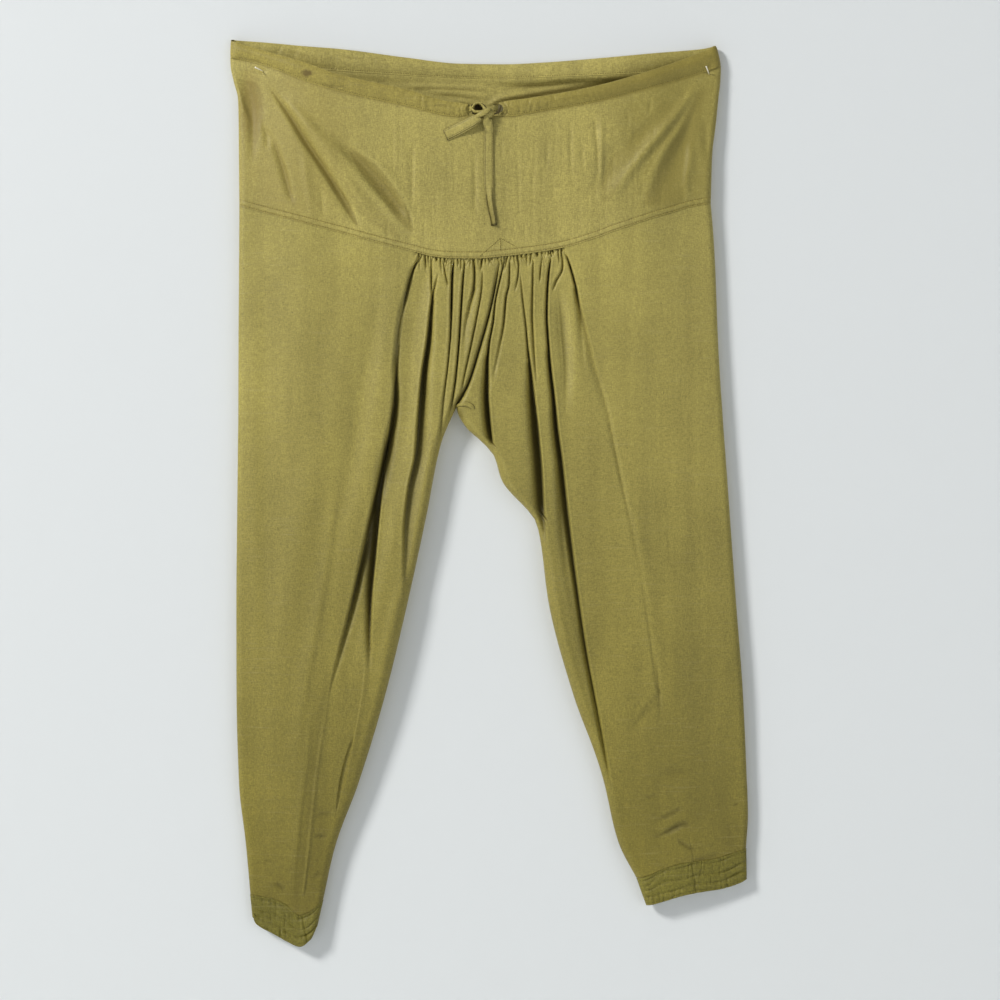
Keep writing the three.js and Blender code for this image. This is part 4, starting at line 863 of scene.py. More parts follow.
def yoke_front():
    def edges(down, name):
        edge = SIDE_LINES[name](mix(front_foot(CORNER_X[name]), yoke_seam_z(CORNER_X[name]), down))
        roll = ROLL_SHAPE * depth_here(edge, mix(front_foot(edge), yoke_seam_z(edge), down)) / 2
        return edge, roll

    def place(u, v):
        close = mix(PLAIN_HEIGHT, 1, (v - PLAIN_ROWS) / (1 - PLAIN_ROWS))
        down = np.where(v < PLAIN_ROWS, v / PLAIN_ROWS * PLAIN_HEIGHT, close)
        left, left_roll = edges(down, "left")
        right, right_roll = edges(down, "right")
        flat = np.clip((u - YOKE_TURN) / (1 - 2 * YOKE_TURN), 0, 1)
        x = mix(left + left_roll, right - right_roll, flat)
        x = np.where(u < YOKE_TURN, left + left_roll * turned(u, YOKE_TURN), x)
        x = np.where(u > 1 - YOKE_TURN, right - right_roll * turned(1 - u, YOKE_TURN), x)
        z = mix(front_foot(x) + 0.8, yoke_seam_z(x) - 0.6, down)
        y = rolled(x - left, middle(left, z) - SEAM_HALF, yoke_y(x, z))
        return x, rolled(right - x, middle(right, z) - SEAM_HALF, y), z

    return cloth("front_yoke_cloth", *GRIDS["front_yoke"], place, deep=yoke_painted_shade)


# Where the back's casing leans away from the wall: x, how far its foot stands out
back_lean_at = curve([
    (-200, 0), (-120, 2), (-40, 1.6), (10, 2.4), (40, 5.5), (110, 7.5), (170, 4.5), (215, 0),
])
BACK_WRINKLES = [wrinkle_of(rows) for rows in [
    [(4, -45, 0, 2, 1.4), (10, -36, 2, 2.4, 1.4), (20, -31, 2.4, 2.6, 1.4), (42, -27, 2, 3, 1.6),
     (78, -21, 1.6, 3, 1.6), (115, -15, 1, 3, 1.6), (150, -8, 0, 3, 2)],
    [(-66, -22, 0, 2, 1.5), (-40, -24, 1.4, 2, 1.4), (-12, -27, 1.2, 2, 1.4), (8, -30, 0, 2, 1.5)],
    [(-96, -16, 0, 2, 1.5), (-62, -17, 1.3, 2, 1.4), (-20, -18, 1, 2, 1.4), (16, -20, 0, 2, 1.5)],
    [(-40, -33, 0, 2, 1.5), (-24, -34, 1.2, 2, 1.4), (-4, -36, 0, 2, 1.5)],
    [(24, -15, 0, 2, 1.5), (52, -14, 1.2, 2, 1.4), (96, -11, 0, 2, 1.5)],
]]


def back_lean(x, z):
    """The back casing's foot leans forward, and the yoke under it falls back into the dark."""
    off = z - back_foot(x) + 1
    reach = np.where(off > 0, 16, 5)
    return back_lean_at(x) * bell(off / reach) + wrinkles_at(BACK_WRINKLES, x, z) * 1.5


def yoke_back():
    def place(u, v):
        left, right = (
            SIDE_LINES[name](mix(back_foot(CORNER_X[name]), yoke_seam_z(CORNER_X[name]), v))
            for name in ("left", "right")
        )
        swing = 0.5 - 0.5 * np.cos(math.pi * np.clip(u, 0, 1))
        x = mix(left, right, mix(u, swing, 0.5))
        z = mix(back_foot(x) + 0.8, yoke_seam_z(x) - 0.4, v)
        y = rolled(x - left, middle(left, z) + SEAM_HALF, -BACK_STAND - back_lean(x, z))
        return x, rolled(right - x, middle(right, z) + SEAM_HALF, y), z

    def deep(x, y, z):
        # Painted shade in the crevice just above the front's top edge, and just under each wrinkle
        crevice = bell((z - front_top(x) - 2) / 7) * ease(10, 60, x) * (1 - ease(150, 185, x)) * 0.55
        return np.clip(crevice + wrinkles_at(BACK_WRINKLES, x, z + 2.2) * 0.22, 0, 1)

    return cloth("back_yoke_cloth", *GRIDS["back_yoke"], place, deep=deep)


CASING_TURN = 0.08  # the share of a casing's columns that goes round its side


def casing_points(side, front, stop):
    """The casing's middle line at u from 0 at its side seam to 1 at stop, and its half height."""
    name = "left" if side < 0 else "right"
    top, foot = (front_top, front_foot) if front else (back_top, back_foot)
    near = CORNER_X[name]
    edge = float(SIDE_LINES[name]((top(near) + foot(near)) / 2)) - side * CASING_HALF

    def face(x):
        z = (top(x) + foot(x)) / 2
        if front:
            return front_face(x, z) - CASING_PROUD
        return -BACK_STAND - CASING_PROUD / 2 - back_lean_at(x) * 0.5

    edge_at = np.array([edge])
    start = float(middle(edge, (top(edge) + foot(edge)) / 2)) + (-SEAM_HALF if front else SEAM_HALF)
    width = ROLL_SHAPE * abs(float(face(edge_at)[0]) - start)

    def path(u):
        flat = np.clip((u - CASING_TURN) / (1 - CASING_TURN), 0, 1)
        x = np.where(
            u < CASING_TURN,
            edge - side * width * turned(u, CASING_TURN),
            mix(edge - side * width, stop, flat),
        )
        z = (top(x) + foot(x)) / 2
        return x, rolled(np.abs(x - edge), start, face(x)), z, (top(x) - foot(x)) / 2

    return path


CASING_WRINKLES = [wrinkle_of(rows) for rows in [
    [(-278, 15, 0, 1, 1), (-268, 12.6, -1.4, 1, 1.2), (-254, 9.4, -1.5, 1, 1.2), (-246, 7, 0, 1, 1)],
    [(-184, -16.5, 0, 1, 1), (-173, -20, -1.5, 1, 1.2), (-160, -21, -1.3, 1, 1.2), (-148, -20, 0, 1, 1)],
    [(-66, -35, 0, 1, 1), (-52, -33.4, -1.4, 1, 1.2), (-36, -37, -1.2, 1, 1.2), (-25, -41, 0, 1, 1)],
    [(-64, -44, 0, 1, 1), (-46, -43, -1.2, 1, 1.2), (-27, -48, 0, 1, 1)],
    [(-170, 19, 0, 1, 1), (-150, 15, -1.2, 1, 1.2), (-120, 12, 0, 1, 1)],
    [(-236, 25, 0, 1, 1), (-206, 19, -1.5, 1, 1.2), (-188, 13, 0, 1, 1)],
]]
CASING_AROUND = 34  # rows round a casing
CASING_STEP = 0.0005  # how far ahead and back its line is looked at for the way that it runs
WALL_CLEAR = 0.5  # no casing's cloth has its middle closer to the wall
CASING_CROWN = 0.55  # how much fuller a casing is where the tape lies in it
MOUTH_PINCH = 0.2  # how much lower its open end is
FOOT_ROW = 0.8  # the stitching along a casing's foot, as a share of its half height down


def no_lean(x):
    return np.zeros_like(x)


def casing_tube(name, path, columns, pucker, lean_at=no_lean, mouth=None):
    """A casing: cloth folded over the drawstring and sewn down along its foot.

    mouth is a front casing's side and how far its outer wall is drawn back at its open end.
    """
    def place(u, v):
        x, y, z, half = path(u)
        near = np.clip(u, CASING_STEP, 1 - CASING_STEP)
        x1, y1, _, _ = path(near + CASING_STEP)
        x0, y0, _, _ = path(near - CASING_STEP)
        run = np.hypot(x1 - x0, y1 - y0) + 1e-9
        out_x, out_y = (y1 - y0) / run, -(x1 - x0) / run
        # up runs from -1 at the foot to 1 at the top, and facing from 1 on one wall to -1 on the other
        turn = v * 2 * math.pi
        up = -np.cos(turn)
        facing = np.sin(turn)
        fat = CASING_HALF * facing * np.sqrt(np.abs(facing) + 0.02)
        crown = 1 + CASING_CROWN * bell((up - 0.35) / 0.5)
        foot_flat = 1 - 0.7 * ease(0.35, 0.95, -up)
        wrinkled = wrinkles_at(CASING_WRINKLES, x, z + half * up)
        wave = (pucker(x, up) + wrinkled) * np.sign(facing) * (1 - up**4)
        row = -0.35 * bell((up + FOOT_ROW) / 0.06) * np.sign(facing)
        fat = fat * crown * foot_flat + wave + row
        from_side = np.minimum(x - outer_left(z), outer_right(z) - x)
        square = CASING_HALF * np.sign(facing) * np.abs(facing) ** 0.2
        fat = mix(square, fat, ease(4, 14, from_side))
        lean = lean_at(x) * -0.5 * up
        drawn = 0
        if mouth:
            side, cut = mouth
            near_end = ease(0.95, 1, u)
            drawn = side * cut * near_end * (1 - up * up) * np.clip(-side * facing, 0, 1)
            half = half * (1 - MOUTH_PINCH * near_end)
        high = z + half * up
        by_left = (side_left(high) - side_left(z)) * (1 - ease(0, 26, x - side_left(z)))
        by_right = (side_right(high) - side_right(z)) * (1 - ease(0, 26, side_right(z) - x))
        depth = np.minimum(y + out_y * fat - lean, -WALL_CLEAR)
        # Painted shade on a casing's far wall near its open mouth, and in its wrinkles
        hidden = ease(-1, 1.4, out_y * fat) * (1 - ease(CASING_GAP + 3, CASING_GAP + 9, np.abs(x)))
        shade = np.clip(hidden * (0.9 if mouth else 0) + np.clip(-wrinkled, 0, 2) * 0.2, 0, 1)
        return x + out_x * fat + drawn + by_left + by_right, depth, high, shade

    return cloth(name, columns, CASING_AROUND, place, thickness=0.4, closed=True)


def casing_pucker(seed, start, stop, strength, marks=()):
    """Fine puckers across a casing, with a few deeper creases: place, depth, width and slant."""
    made = puckers(seed, start, stop, (2.5, 8), (0.3, 1.3), (-0.9, 0.9), (0.6, 1.6), (-2.5, 2.5))

    def read(x, up):
        height = np.zeros_like(x)
        for place, depth, centre, width, lean in made:
            height -= depth * bell((x - place - up * lean) / width) * bell((up - centre) / 0.7)
        height *= strength(x)
        for place, depth, width, slant in marks:
            height -= depth * bell((x - place - up * slant) / width)
        return height

    return read


front_left_path = casing_points(-1, True, -CASING_GAP)
front_right_path = casing_points(1, True, CASING_GAP)
back_left_path = casing_points(-1, False, 0.0)
back_right_path = casing_points(1, False, 0.0)


def back_path(u):
    left = back_left_path(np.clip(u * 2, 0, 1))
    right = back_right_path(np.clip(2 - u * 2, 0, 1))
    return tuple(np.where(u < 0.5, a, b) for a, b in zip(left, right))


def cuff_ring(leg, u):
    """A cuff's upper edge at u from 0 round the front and back to 1: x and y, as the leg's foot has them."""
    front_u = np.clip(u * 2, 0, 1)
    back_u = np.clip(2 - u * 2, 0, 1)
    nominal = np.full_like(u, leg["foot"])
    front = leg_point(leg, leg_columns(leg, nominal, front_u, BACK_FOLD_SHARE), nominal, True)
    back = leg_point(leg, leg_columns(leg, nominal, back_u, BACK_FOLD_SHARE), nominal, False)
    return np.where(u < 0.5, front[0], back[0]), np.where(u < 0.5, front[1], back[1])


CUFF_ROWS = [0.1, 0.46, 0.74, 0.95]  # rows of stitching round a cuff, as shares of its height
CUFF_FOLD = {"left": -200, "right": 236}  # where each cuff has a deeper crease down it
CUFF_SEEDS = {"left": 21, "right": 22}
SLANTS = 9  # long slanting creases on each cuff


def cuff_swell(leg, x, v, seed):
    """The grooves of the rows of stitching and, between them, small upright and slanting creases."""
    chance = random.Random(seed)
    height = np.zeros_like(x)
    low, high = sorted((leg["hem_outer"], leg["hem_inner"]))
    for row in CUFF_ROWS:
        drift = chance.uniform(0.01, 0.03) * np.sin(x / chance.uniform(6, 11) + chance.uniform(0, 6))
        height -= 1.2 * bell((v - row - drift) / 0.045)
    for _ in range(3):
        place = low + 3
        while place < high:
            lean = chance.uniform(-5, 5)
            at = chance.uniform(0, 1)
            depth = chance.uniform(0.25, 1.1)
            width = chance.uniform(0.5, 1.3)
            reach = chance.uniform(0.1, 0.24)
            height -= depth * bell((x - place - lean * (v - 0.5)) / width) * bell((v - at) / reach)
            place += chance.uniform(3, 9)
    for _ in range(SLANTS):
        place, at = chance.uniform(low, high), chance.uniform(0.15, 0.95)
        slope, reach = chance.uniform(-0.016, 0.016), chance.uniform(8, 20)
        depth = chance.uniform(0.4, 1.2)
        height -= depth * bell((v - at - slope * (x - place)) / 0.045) * bell((x - place) / reach)
    fold = CUFF_FOLD[leg["name"]]
    height -= 1.3 * bell((x - fold - 6 * (v - 0.5)) / 1.3)
    return height


def cuff_place(leg, u, v):
    x, y = cuff_ring(leg, u)
    outer, inner = leg["outer"](leg["foot"]), inner_x(leg, leg["foot"])
    share = (x - outer) / (inner - outer)
    low = mix(leg["hem_outer"], leg["hem_inner"], share)
    here = mix(x, low, v)
    top = leg["cuff_z"](x)
    z = mix(top, leg["hem_z"](low), v)
    centre = middle(x, top)
    swell = cuff_swell(leg, here, v, CUFF_SEEDS[leg["name"]]) * np.clip(np.abs(y - centre) / 4, 0, 1)
    return here, y + np.sign(y - centre) * swell, z


def cuff(leg):
    def place(u, v):
        return cuff_place(leg, u, v)

    return cloth(f"{leg['name']}_cuff_cloth", *GRIDS["cuff"], place, thickness=CUFF_CLOTH, closed=True)


# The drawstring's hanging end and short end: x, z, how far the middle stands off the cloth's middle
HANGING_END = [
    (6, -59.4, 6.6), (6.1, -63, 5.6), (6.2, -68, 4), (6.2, -74, 2.8), (6.1, -82, 2), (6, -91, 1.7),
    (6, -100, 1.6), (6.1, -109, 1.6), (6.2, -118, 1.6), (6.2, -127, 1.6), (6.3, -136, 1.6),
    (6.7, -144, 1.6), (7.7, -152, 1.7), (9.2, -160, 1.8), (10.8, -168, 1.8), (12, -176, 1.7),
]
SHORT_END = [
    (-3.6, -56.6, 8.2), (-9, -59.4, 7.4), (-15, -62.4, 6), (-21, -65.3, 4.6), (-27, -68.2, 3.2),
    (-33, -71.1, 2.2), (-38, -73.5, 1.8), (-42.6, -75.6, 1.7),
]
# The tape's widths at its end, inside the casing and at the knot, and its thickness
TAPE = {"width": 11.5, "inside": 10.6, "thickness": 1, "at_knot": 7}
TAPE_AROUND = 36  # rows round the tape
EDGE_ROLL = 0.22  # how far the sewn edges stand up
# The knot's middle, its half depth, its gap to the cloth, and how far behind its middle the casings'
# mouths are
KNOT = {"x": 4, "z": -52.6, "half_y": 5.2, "clear": 0.4, "mouth": 6}
knot_y = float(front_face(KNOT["x"], KNOT["z"])) - 0.6 - KNOT["clear"] - KNOT["half_y"]


def tape_places(route):
    x = np.array([row[0] for row in route], float)
    z = np.array([row[1] for row in route], float)
    lift = np.array([row[2] for row in route], float)
    return np.stack([x, front_face(x, z) - lift, z], 1)


def along(places, share):
    """Points at shares of a line's length."""
    step = np.linalg.norm(np.diff(places, axis=0), axis=1)
    run = np.concatenate([[0], np.cumsum(step)])
    at = share * run[-1]
    return np.stack([np.interp(at, run, places[:, k]) for k in range(3)], 1)


def tape_strip(name, places, widths, columns=90, upright=False, folds=None, end_shade=0.0):
    """A flat tape along a line: a thin closed strip with rounded edges. widths gives its width by share."""
    width_at = curve(widths)

    def place(u, v):
        at = along(places, u)
        ahead = along(places, np.clip(u + 0.01, 0, 1)) - along(places, np.clip(u - 0.01, 0, 1))
        ahead /= np.linalg.norm(ahead, axis=1)[:, None]
        if upright:
            side = np.zeros_like(ahead) + np.array([0.0, 0.0, -1.0])
        else:
            side = np.cross(np.array([0.0, 1.0, 0.0]), ahead)
        side /= np.linalg.norm(side, axis=1)[:, None]
        out = np.cross(ahead, side)
        turn = v * 2 * math.pi
        half = width_at(u) / 2
        across = np.cos(turn)
        face = np.sin(turn)
        # Thickest along the middle, with a groove inside each edge and a roll at it
        thick = TAPE["thickness"] / 2 * face * (1.25 - 0.5 * np.abs(across))
        thick += EDGE_ROLL * face * bell((np.abs(across) - 0.86) / 0.1)
        thick -= EDGE_ROLL * face * bell((np.abs(across) - 0.66) / 0.07)
        if folds is not None:
            thick += folds(u, across)
        across = np.sign(across) * np.abs(across) ** 0.7
        moved = at + side * (half * across)[:, None] + out * thick[:, None]
        # Painted shade darkens the groove, the sewn edges and the end's hem, and end_shade the end's lower
        # part
        edge = 0.6 * bell((np.abs(across) - 0.72) / 0.08) + 0.95 * ease(0.93, 1, np.abs(across))
        edge = np.maximum(edge, 0.95 * ease(0.965, 1, u))
        shade = edge + ease(0.55, 0.9, u) * end_shade
        return moved[:, 0], moved[:, 1], moved[:, 2], np.clip(shade, 0, 1)

    return cloth(name, columns, TAPE_AROUND, place, thickness=0.2, closed=True)


def hanging_folds(u, across):
    """A crease under the knot, and lengthways creases where the end turns on edge."""
    crease = -0.8 * bell((u - 0.1) / 0.022) + 0.5 * bell((u - 0.14) / 0.03) - 0.35 * bell((u - 0.62) / 0.02)
    twist = ease(0.55, 0.8, u) * (bell((across - 0.4) / 0.26) - bell((across + 0.3) / 0.26))
    return crease + twist * 1.9


def short_folds(u, across):
    return -0.3 * bell((across - 0.4) / 0.08) * ease(0.1, 0.4, u) - 0.4 * bell((u - 0.12) / 0.05)


BAND_AROUND = 24  # rows round a soft roll


def swept_band(name, rows, columns=60):
    """A soft roll of cloth along a smooth line: x, y, z, half width and half thickness."""
    table = np.array(rows, float)
    at = np.linspace(0, 1, len(rows))
    lines = [curve([(a, value) for a, value in zip(at, table[:, k])]) for k in range(5)]

    def on_line(u):
        return np.stack([line(np.clip(u, 0, 1)) for line in lines[:3]], 1)

    def place(u, v):
        here = on_line(u)
        ahead = on_line(u + 0.01) - on_line(u - 0.01)
        ahead /= np.linalg.norm(ahead, axis=1)[:, None] + 1e-9
        out = np.zeros_like(here) + np.array([0.0, -1.0, 0.0])
        out -= ahead * np.sum(out * ahead, axis=1)[:, None]
        out /= np.linalg.norm(out, axis=1)[:, None] + 1e-9
        side = np.cross(out, ahead)
        turn = v * 2 * math.pi
        wave = 1 + 0.14 * np.cos(turn * 3 + u * 9) * ease(0, 0.1, u)
        across = (lines[3](u) * np.cos(turn) * wave)[:, None]
        moved = here + side * across + out * (lines[4](u) * np.sin(turn))[:, None]
        # The fourth value is painted shade, darker towards the roll's edges
        return moved[:, 0], moved[:, 1], moved[:, 2], 0.6 * ease(0.6, 1, np.abs(np.cos(turn)))

    return cloth(name, columns, BAND_AROUND, place, thickness=0.2, closed=True)


def joined(name, pieces):
    """One mesh of several, with their painted shade."""
    bm = bmesh.new()
    depths = []
    for piece in pieces:
        held = bpy.context.evaluated_depsgraph_get()
        mesh = piece.evaluated_get(held).to_mesh()
        bm.from_mesh(mesh)
        depth = np.zeros(len(mesh.vertices), np.float32)
        mesh.attributes["fold_depth"].data.foreach_get("value", depth)
        depths.append(depth)
        piece.evaluated_get(held).to_mesh_clear()
    for piece in pieces:
        mesh = piece.data
        bpy.data.objects.remove(piece)
        bpy.data.meshes.remove(mesh)
    whole = new_mesh(name, bm)
    layers = whole.data.attributes
    mark = layers.get("fold_depth") or layers.new("fold_depth", "FLOAT", "POINT")
    mark.data.foreach_set("value", np.concatenate(depths))
    return whole


def waist_line():
    """The drawstring's run through the casing, from one front end round the back to the other."""
    u = np.linspace(0, 1, 80)
    left = np.stack(front_left_path(1 - u)[:3], 1)
    back = np.stack(back_path(u)[:3], 1)
    right = np.stack(front_right_path(u)[:3], 1)
    return np.concatenate([left, back, right])


def knot_tape():
    """The knot: a strand from each casing, a loop with a hole in it, and the turn across the front."""
    kx, ky, kz = KNOT["x"], knot_y, KNOT["z"]
    mouth = ky + KNOT["mouth"]
    left_strand = swept_band("left_strand", [
        (-19, mouth + 1.5, -46.5, 4.2, 0.8),
        (-15.5, mouth, -46.6, 3.8, 0.9),
        (-12.4, mouth - 3, -46.2, 2.6, 1.2),
        (-11, mouth - 3.4, -44, 1.3, 4),
        (-8.6, mouth - 3.4, -41.6, 1.1, 4.8),
        (-5.6, mouth - 3.4, -41, 1.1, 5),
        (-2.4, mouth - 3.6, -42.6, 1.2, 4.8),
        (0.4, mouth - 5, -45.6, 1.6, 3.4),
        (2.6, mouth - 7.5, -49.4, 2.4, 1.8),
    ], 90)
    under_loop = swept_band("under_loop", [
        (-12.4, mouth - 3, -47.6, 1.4, 3.4),
        (-9.4, mouth - 4, -50.4, 1.6, 4.4),
        (-5, mouth - 4.6, -51, 1.8, 4.4),
        (0, mouth - 6, -50.2, 2, 3),
    ], 40)
    turn_across = swept_band("turn_across", [
        (7.5, ky + 1.5, kz + 5.4, 2, 1.6),
        (6, ky - 2, kz + 4, 2.8, 1.8),
        (2.6, ky - 4.2, kz + 1.2, 3.2, 2),
        (-1.4, ky - 4.6, kz - 1, 3, 1.9),
        (-5, ky - 3.2, kz - 2.4, 2.5, 1.6),
        (-8, ky - 1.2, kz - 4.2, 3, 1.2),
        (-11, ky + 0.4, kz - 6.4, 3.8, 0.8),
    ], 70)
    right_strand = swept_band("right_strand", [
        (19.5, mouth + 1.5, -46.6, 4.2, 0.8),
        (15.5, mouth + 0.4, -46.4, 3.8, 0.9),
        (12, mouth - 2, -46.4, 3.4, 1.4),
        (8.6, mouth - 4, -47.6, 3, 1.7),
        (5.4, mouth - 5, -50.4, 2.8, 1.9),
        (3.6, mouth - 5, -54, 2.8, 2),
    ], 60)
    core = swept_band("core", [
        (kx - 6.5, ky + 1.6, kz - 0.6, 1.4, 1.2),
        (kx - 3.5, ky + 0.8, kz - 0.4, 4.6, 3.2),
        (kx + 1, ky + 0.6, kz - 0.4, 5.4, 4),
        (kx + 5, ky + 1, kz - 0.6, 4.4, 3.2),
        (kx + 7.6, ky + 1.8, kz - 0.8, 1.2, 1.2),
    ], 50)
    hanging_top = swept_band("hanging_top", [
        (3.4, ky - 1.6, -55.2, 3, 1.6),
        (3.6, ky - 0.8, -58.6, 3.9, 1.7),
        (4, ky + 1, -62.4, 4.3, 1.5),
        (4.6, ky + 2.8, -66.4, 4.4, 1.2),
        (5, ky + 4.2, -69.4, 4, 0.7),
    ], 50)
    return joined("drawstring_knot_tape", [
        left_strand, under_loop, turn_across, right_strand, core, hanging_top,
    ])


MOUTH_SHADE_PROUD = 4.6  # how far the shade in the right casing's mouth stands in front of the cloth


def knot_shade():
    """Dark tape as painted shade, where the knot's loop and the right casing's mouth show only shadow."""
    mouth = knot_y + KNOT["mouth"]
    in_loop = swept_band("in_loop", [
        (-13, mouth + 1.6, -47, 5, 0.8),
        (-6, mouth + 2.6, -46.2, 6.4, 0.8),
        (2, mouth + 1.6, -48.6, 5, 1),
    ], 24)
    over_casing = float(front_face(16, -48)) - MOUTH_SHADE_PROUD
    in_mouth = swept_band("in_mouth", [
        (19.4, over_casing + 0.8, -42.4, 0.3, 0.3),
        (19.2, over_casing, -45.4, 0.9, 0.4),
        (17.6, over_casing, -49, 1.2, 0.4),
        (14.6, over_casing, -51.8, 1, 0.4),
        (11.4, over_casing + 0.8, -53.2, 0.3, 0.3),
    ], 30)
    return joined("drawstring_in_shade_tape", [in_loop, in_mouth])


def crotch_edge():
    """The seam's raw edge, curled forward where the two legs part."""
    face = float(front_face(-20, CROTCH_Z)) - 0.8
    return swept_band("crotch_seam_edge_cloth", [
        (-30.6, face + 8, -377.6, 0.8, 0.6),
        (-26.4, face + 2, -375.8, 2, 0.8),
        (-20.6, face - 0.6, -374.8, 2.6, 0.9),
        (-14.6, face - 0.6, -376.8, 2.6, 0.9),
        (-11, face + 0.8, -381, 1.8, 0.8),
        (-10.2, face + 4, -386, 0.8, 0.6),
    ], 50)


# A pin's radius, its head's radius and depth, the length of its point, and how far the point is from the wall
PIN = {"radius": 0.62, "head": 1.05, "head_depth": 0.7, "point": 2.5, "gap": 0.8}


def pin_wire(name, x, z, head):
    """A long thin steel pin with a small flat head, through the cloth to the wall."""
    through = Vector((x, float(yoke_y(np.array([x]), np.array([z]))[0]), z))
    way = Vector(head)
    start = through + way * ((-PIN["gap"] - through.y) / way.y)
    tip = through + way
    turn = way.to_track_quat("Z", "Y").to_matrix().to_4x4()
    length = (tip - start).length
    bm = bmesh.new()
    for inward, outward, low, high in (
        (PIN["radius"] * 0.15, PIN["radius"], 0, PIN["point"]),
        (PIN["radius"], PIN["radius"], PIN["point"], length - PIN["head_depth"]),
        (PIN["head"], PIN["head"] * 0.7, length - PIN["head_depth"], length),
    ):
        place = Matrix.Translation(start * MM) @ turn @ Matrix.Translation((0, 0, (low + high) / 2 * MM))
        bmesh.ops.create_cone(
            bm, cap_ends=True, segments=20, radius1=inward * MM, radius2=outward * MM,
            depth=(high - low) * MM, matrix=place,
        )
    return new_mesh(name, bm)


# Stitches: pitch, length, radius of the thread, and how far they stand off a casing and off the yoke
STITCH = {"pitch": 2.7, "length": 1.8, "radius": 0.34, "off_casing": 0.5, "off_yoke": 0.28}


def stitches(name, rows, pitch=STITCH["pitch"], length=STITCH["length"], radius=STITCH["radius"]):
    """Small raised stitches along lines of points, with one short gap between each and the next."""
    chance = random.Random(name)
    bm = bmesh.new()
    for places in rows:
        run = np.linalg.norm(np.diff(places, axis=0), axis=1).sum()
        count = max(int(run / pitch), 1)
        at = along(places, (np.arange(count) + 0.5) / count)
        near = along(places, np.clip((np.arange(count) + 0.7) / count, 0, 1))
        for here, there in zip(at, near):
            turn = Vector(there - here).to_track_quat("X", "Z").to_matrix().to_4x4()
            long = length * chance.uniform(0.8, 1.1)
            size = Matrix.Diagonal((long / 2 * MM, radius * MM, radius * MM, 1))
            bmesh.ops.create_icosphere(
                bm, subdivisions=1, radius=1, matrix=Matrix.Translation(Vector(here) * MM) @ turn @ size,
            )
    return new_mesh(name, bm)


def line_on(face, x, z, lift):
    """Points of a line on a face y = face(x, z), stood off it by lift."""
    x, z = np.asarray(x, float), np.asarray(z, float)
    return np.stack([x, face(x, z) - lift, z], 1)


SEAM_ENDS = 17, 9  # how far the yoke seam's stitching stops short of the left and right sides
# The small V stitched under the yoke's centre, and the short centre seam inside it
V_STITCH = [(-3.9, -210), (19.2, -189.8), (37.5, -200)]
CENTRE_STUB = [(19.2, -190.4), (19.2, -203)]


def seam_stitches():
    x = np.linspace(CORNER_X["left"] + SEAM_ENDS[0], side_right(-150.0) - SEAM_ENDS[1], 260)
    rows = [line_on(yoke_y, x, yoke_seam_z(x) + row, STITCH["off_yoke"]) for row in SEAM_ROWS]
    return stitches("yoke_stitches", rows)


def centre_stitches():
    rows = []
    for table in (V_STITCH, CENTRE_STUB):
        ends = np.array(table, float)
        points = along(np.stack([ends[:, 0], ends[:, 0] * 0, ends[:, 1]], 1), np.linspace(0, 1, 40))
        rows.append(line_on(yoke_y, points[:, 0], points[:, 2], STITCH["off_yoke"]))
    return stitches("yoke_centre_stitches", rows, 2.1, 2.1, 0.42)


def casing_stitches(name, path, lean_at=no_lean):
    u = np.linspace(0.06, 0.985, 240)
    x, y, z, half = path(u)
    lean = lean_at(x) * 0.5 * FOOT_ROW
    return stitches(name, [np.stack([x, y - lean - STITCH["off_casing"], z - half * FOOT_ROW], 1)])


def cuff_stitches(leg):
    u = np.linspace(0.02, 0.98, 300)
    rows = []
    for row in CUFF_ROWS:
        x, y, z = cuff_place(leg, u, np.full_like(u, row))
        centre = middle(x, leg["cuff_z"](x))
        outward = np.sign(y - centre) * (CUFF_CLOTH / 2 - 0.05)
        rows.append(np.stack([x, y + outward, z], 1))
    return stitches(f"{leg['name']}_cuff_stitches", rows, length=1.7)


def tape_stitches():
    """A row near the right edge of the tape's hanging end."""
    line = along(hanging_line, np.linspace(0.1, 0.7, 80))
    return stitches("drawstring_stitches", [line + np.array([3.9, -0.62, 0])], radius=0.22)


# Cloth pieces
left_leg_front, left_leg_back = leg_panel(LEFT, True), leg_panel(LEFT, False)
right_leg_front, right_leg_back = leg_panel(RIGHT, True), leg_panel(RIGHT, False)
front_yoke, back_yoke = yoke_front(), yoke_back()
left_cuff, right_cuff = cuff(LEFT), cuff(RIGHT)
left_casing = casing_tube(
    "front_left_casing_cloth", front_left_path, 200,
    casing_pucker(3, -270, -14, lambda x: mix(0.3, 1, ease(-110, -30, x)), [
        (-69.2, 1.1, 0.6, 0), (-66, -0.6, 2.4, 0), (-30, 0.8, 1.2, 2), (-24, 0.9, 0.9, 1),
    ]),
    mouth=(-1, 3),
)
right_casing = casing_tube(
    "front_right_casing_cloth", front_right_path, 200,
    casing_pucker(5, 14, 260, lambda x: mix(1.3, 0.3, ease(60, 130, x)), [
        (24, 1.2, 1, -3), (30, 0.9, 0.8, -1),
    ]),
    mouth=(1, 6),
)
back_casing = casing_tube(
    "back_casing_cloth", back_path, 280,
    casing_pucker(6, -270, 255, lambda x: 0.5, [
        (-174, 1.2, 0.8, 0.6), (-166, 1.3, 0.8, 0.4), (-155, 1, 0.7, 0), (-146, 1.2, 0.8, -0.6),
        (-232, 0.8, 2, 5), (-212, 0.6, 1.4, 3), (238, 0.8, 1.4, -3),
    ]),
    back_lean_at,
)

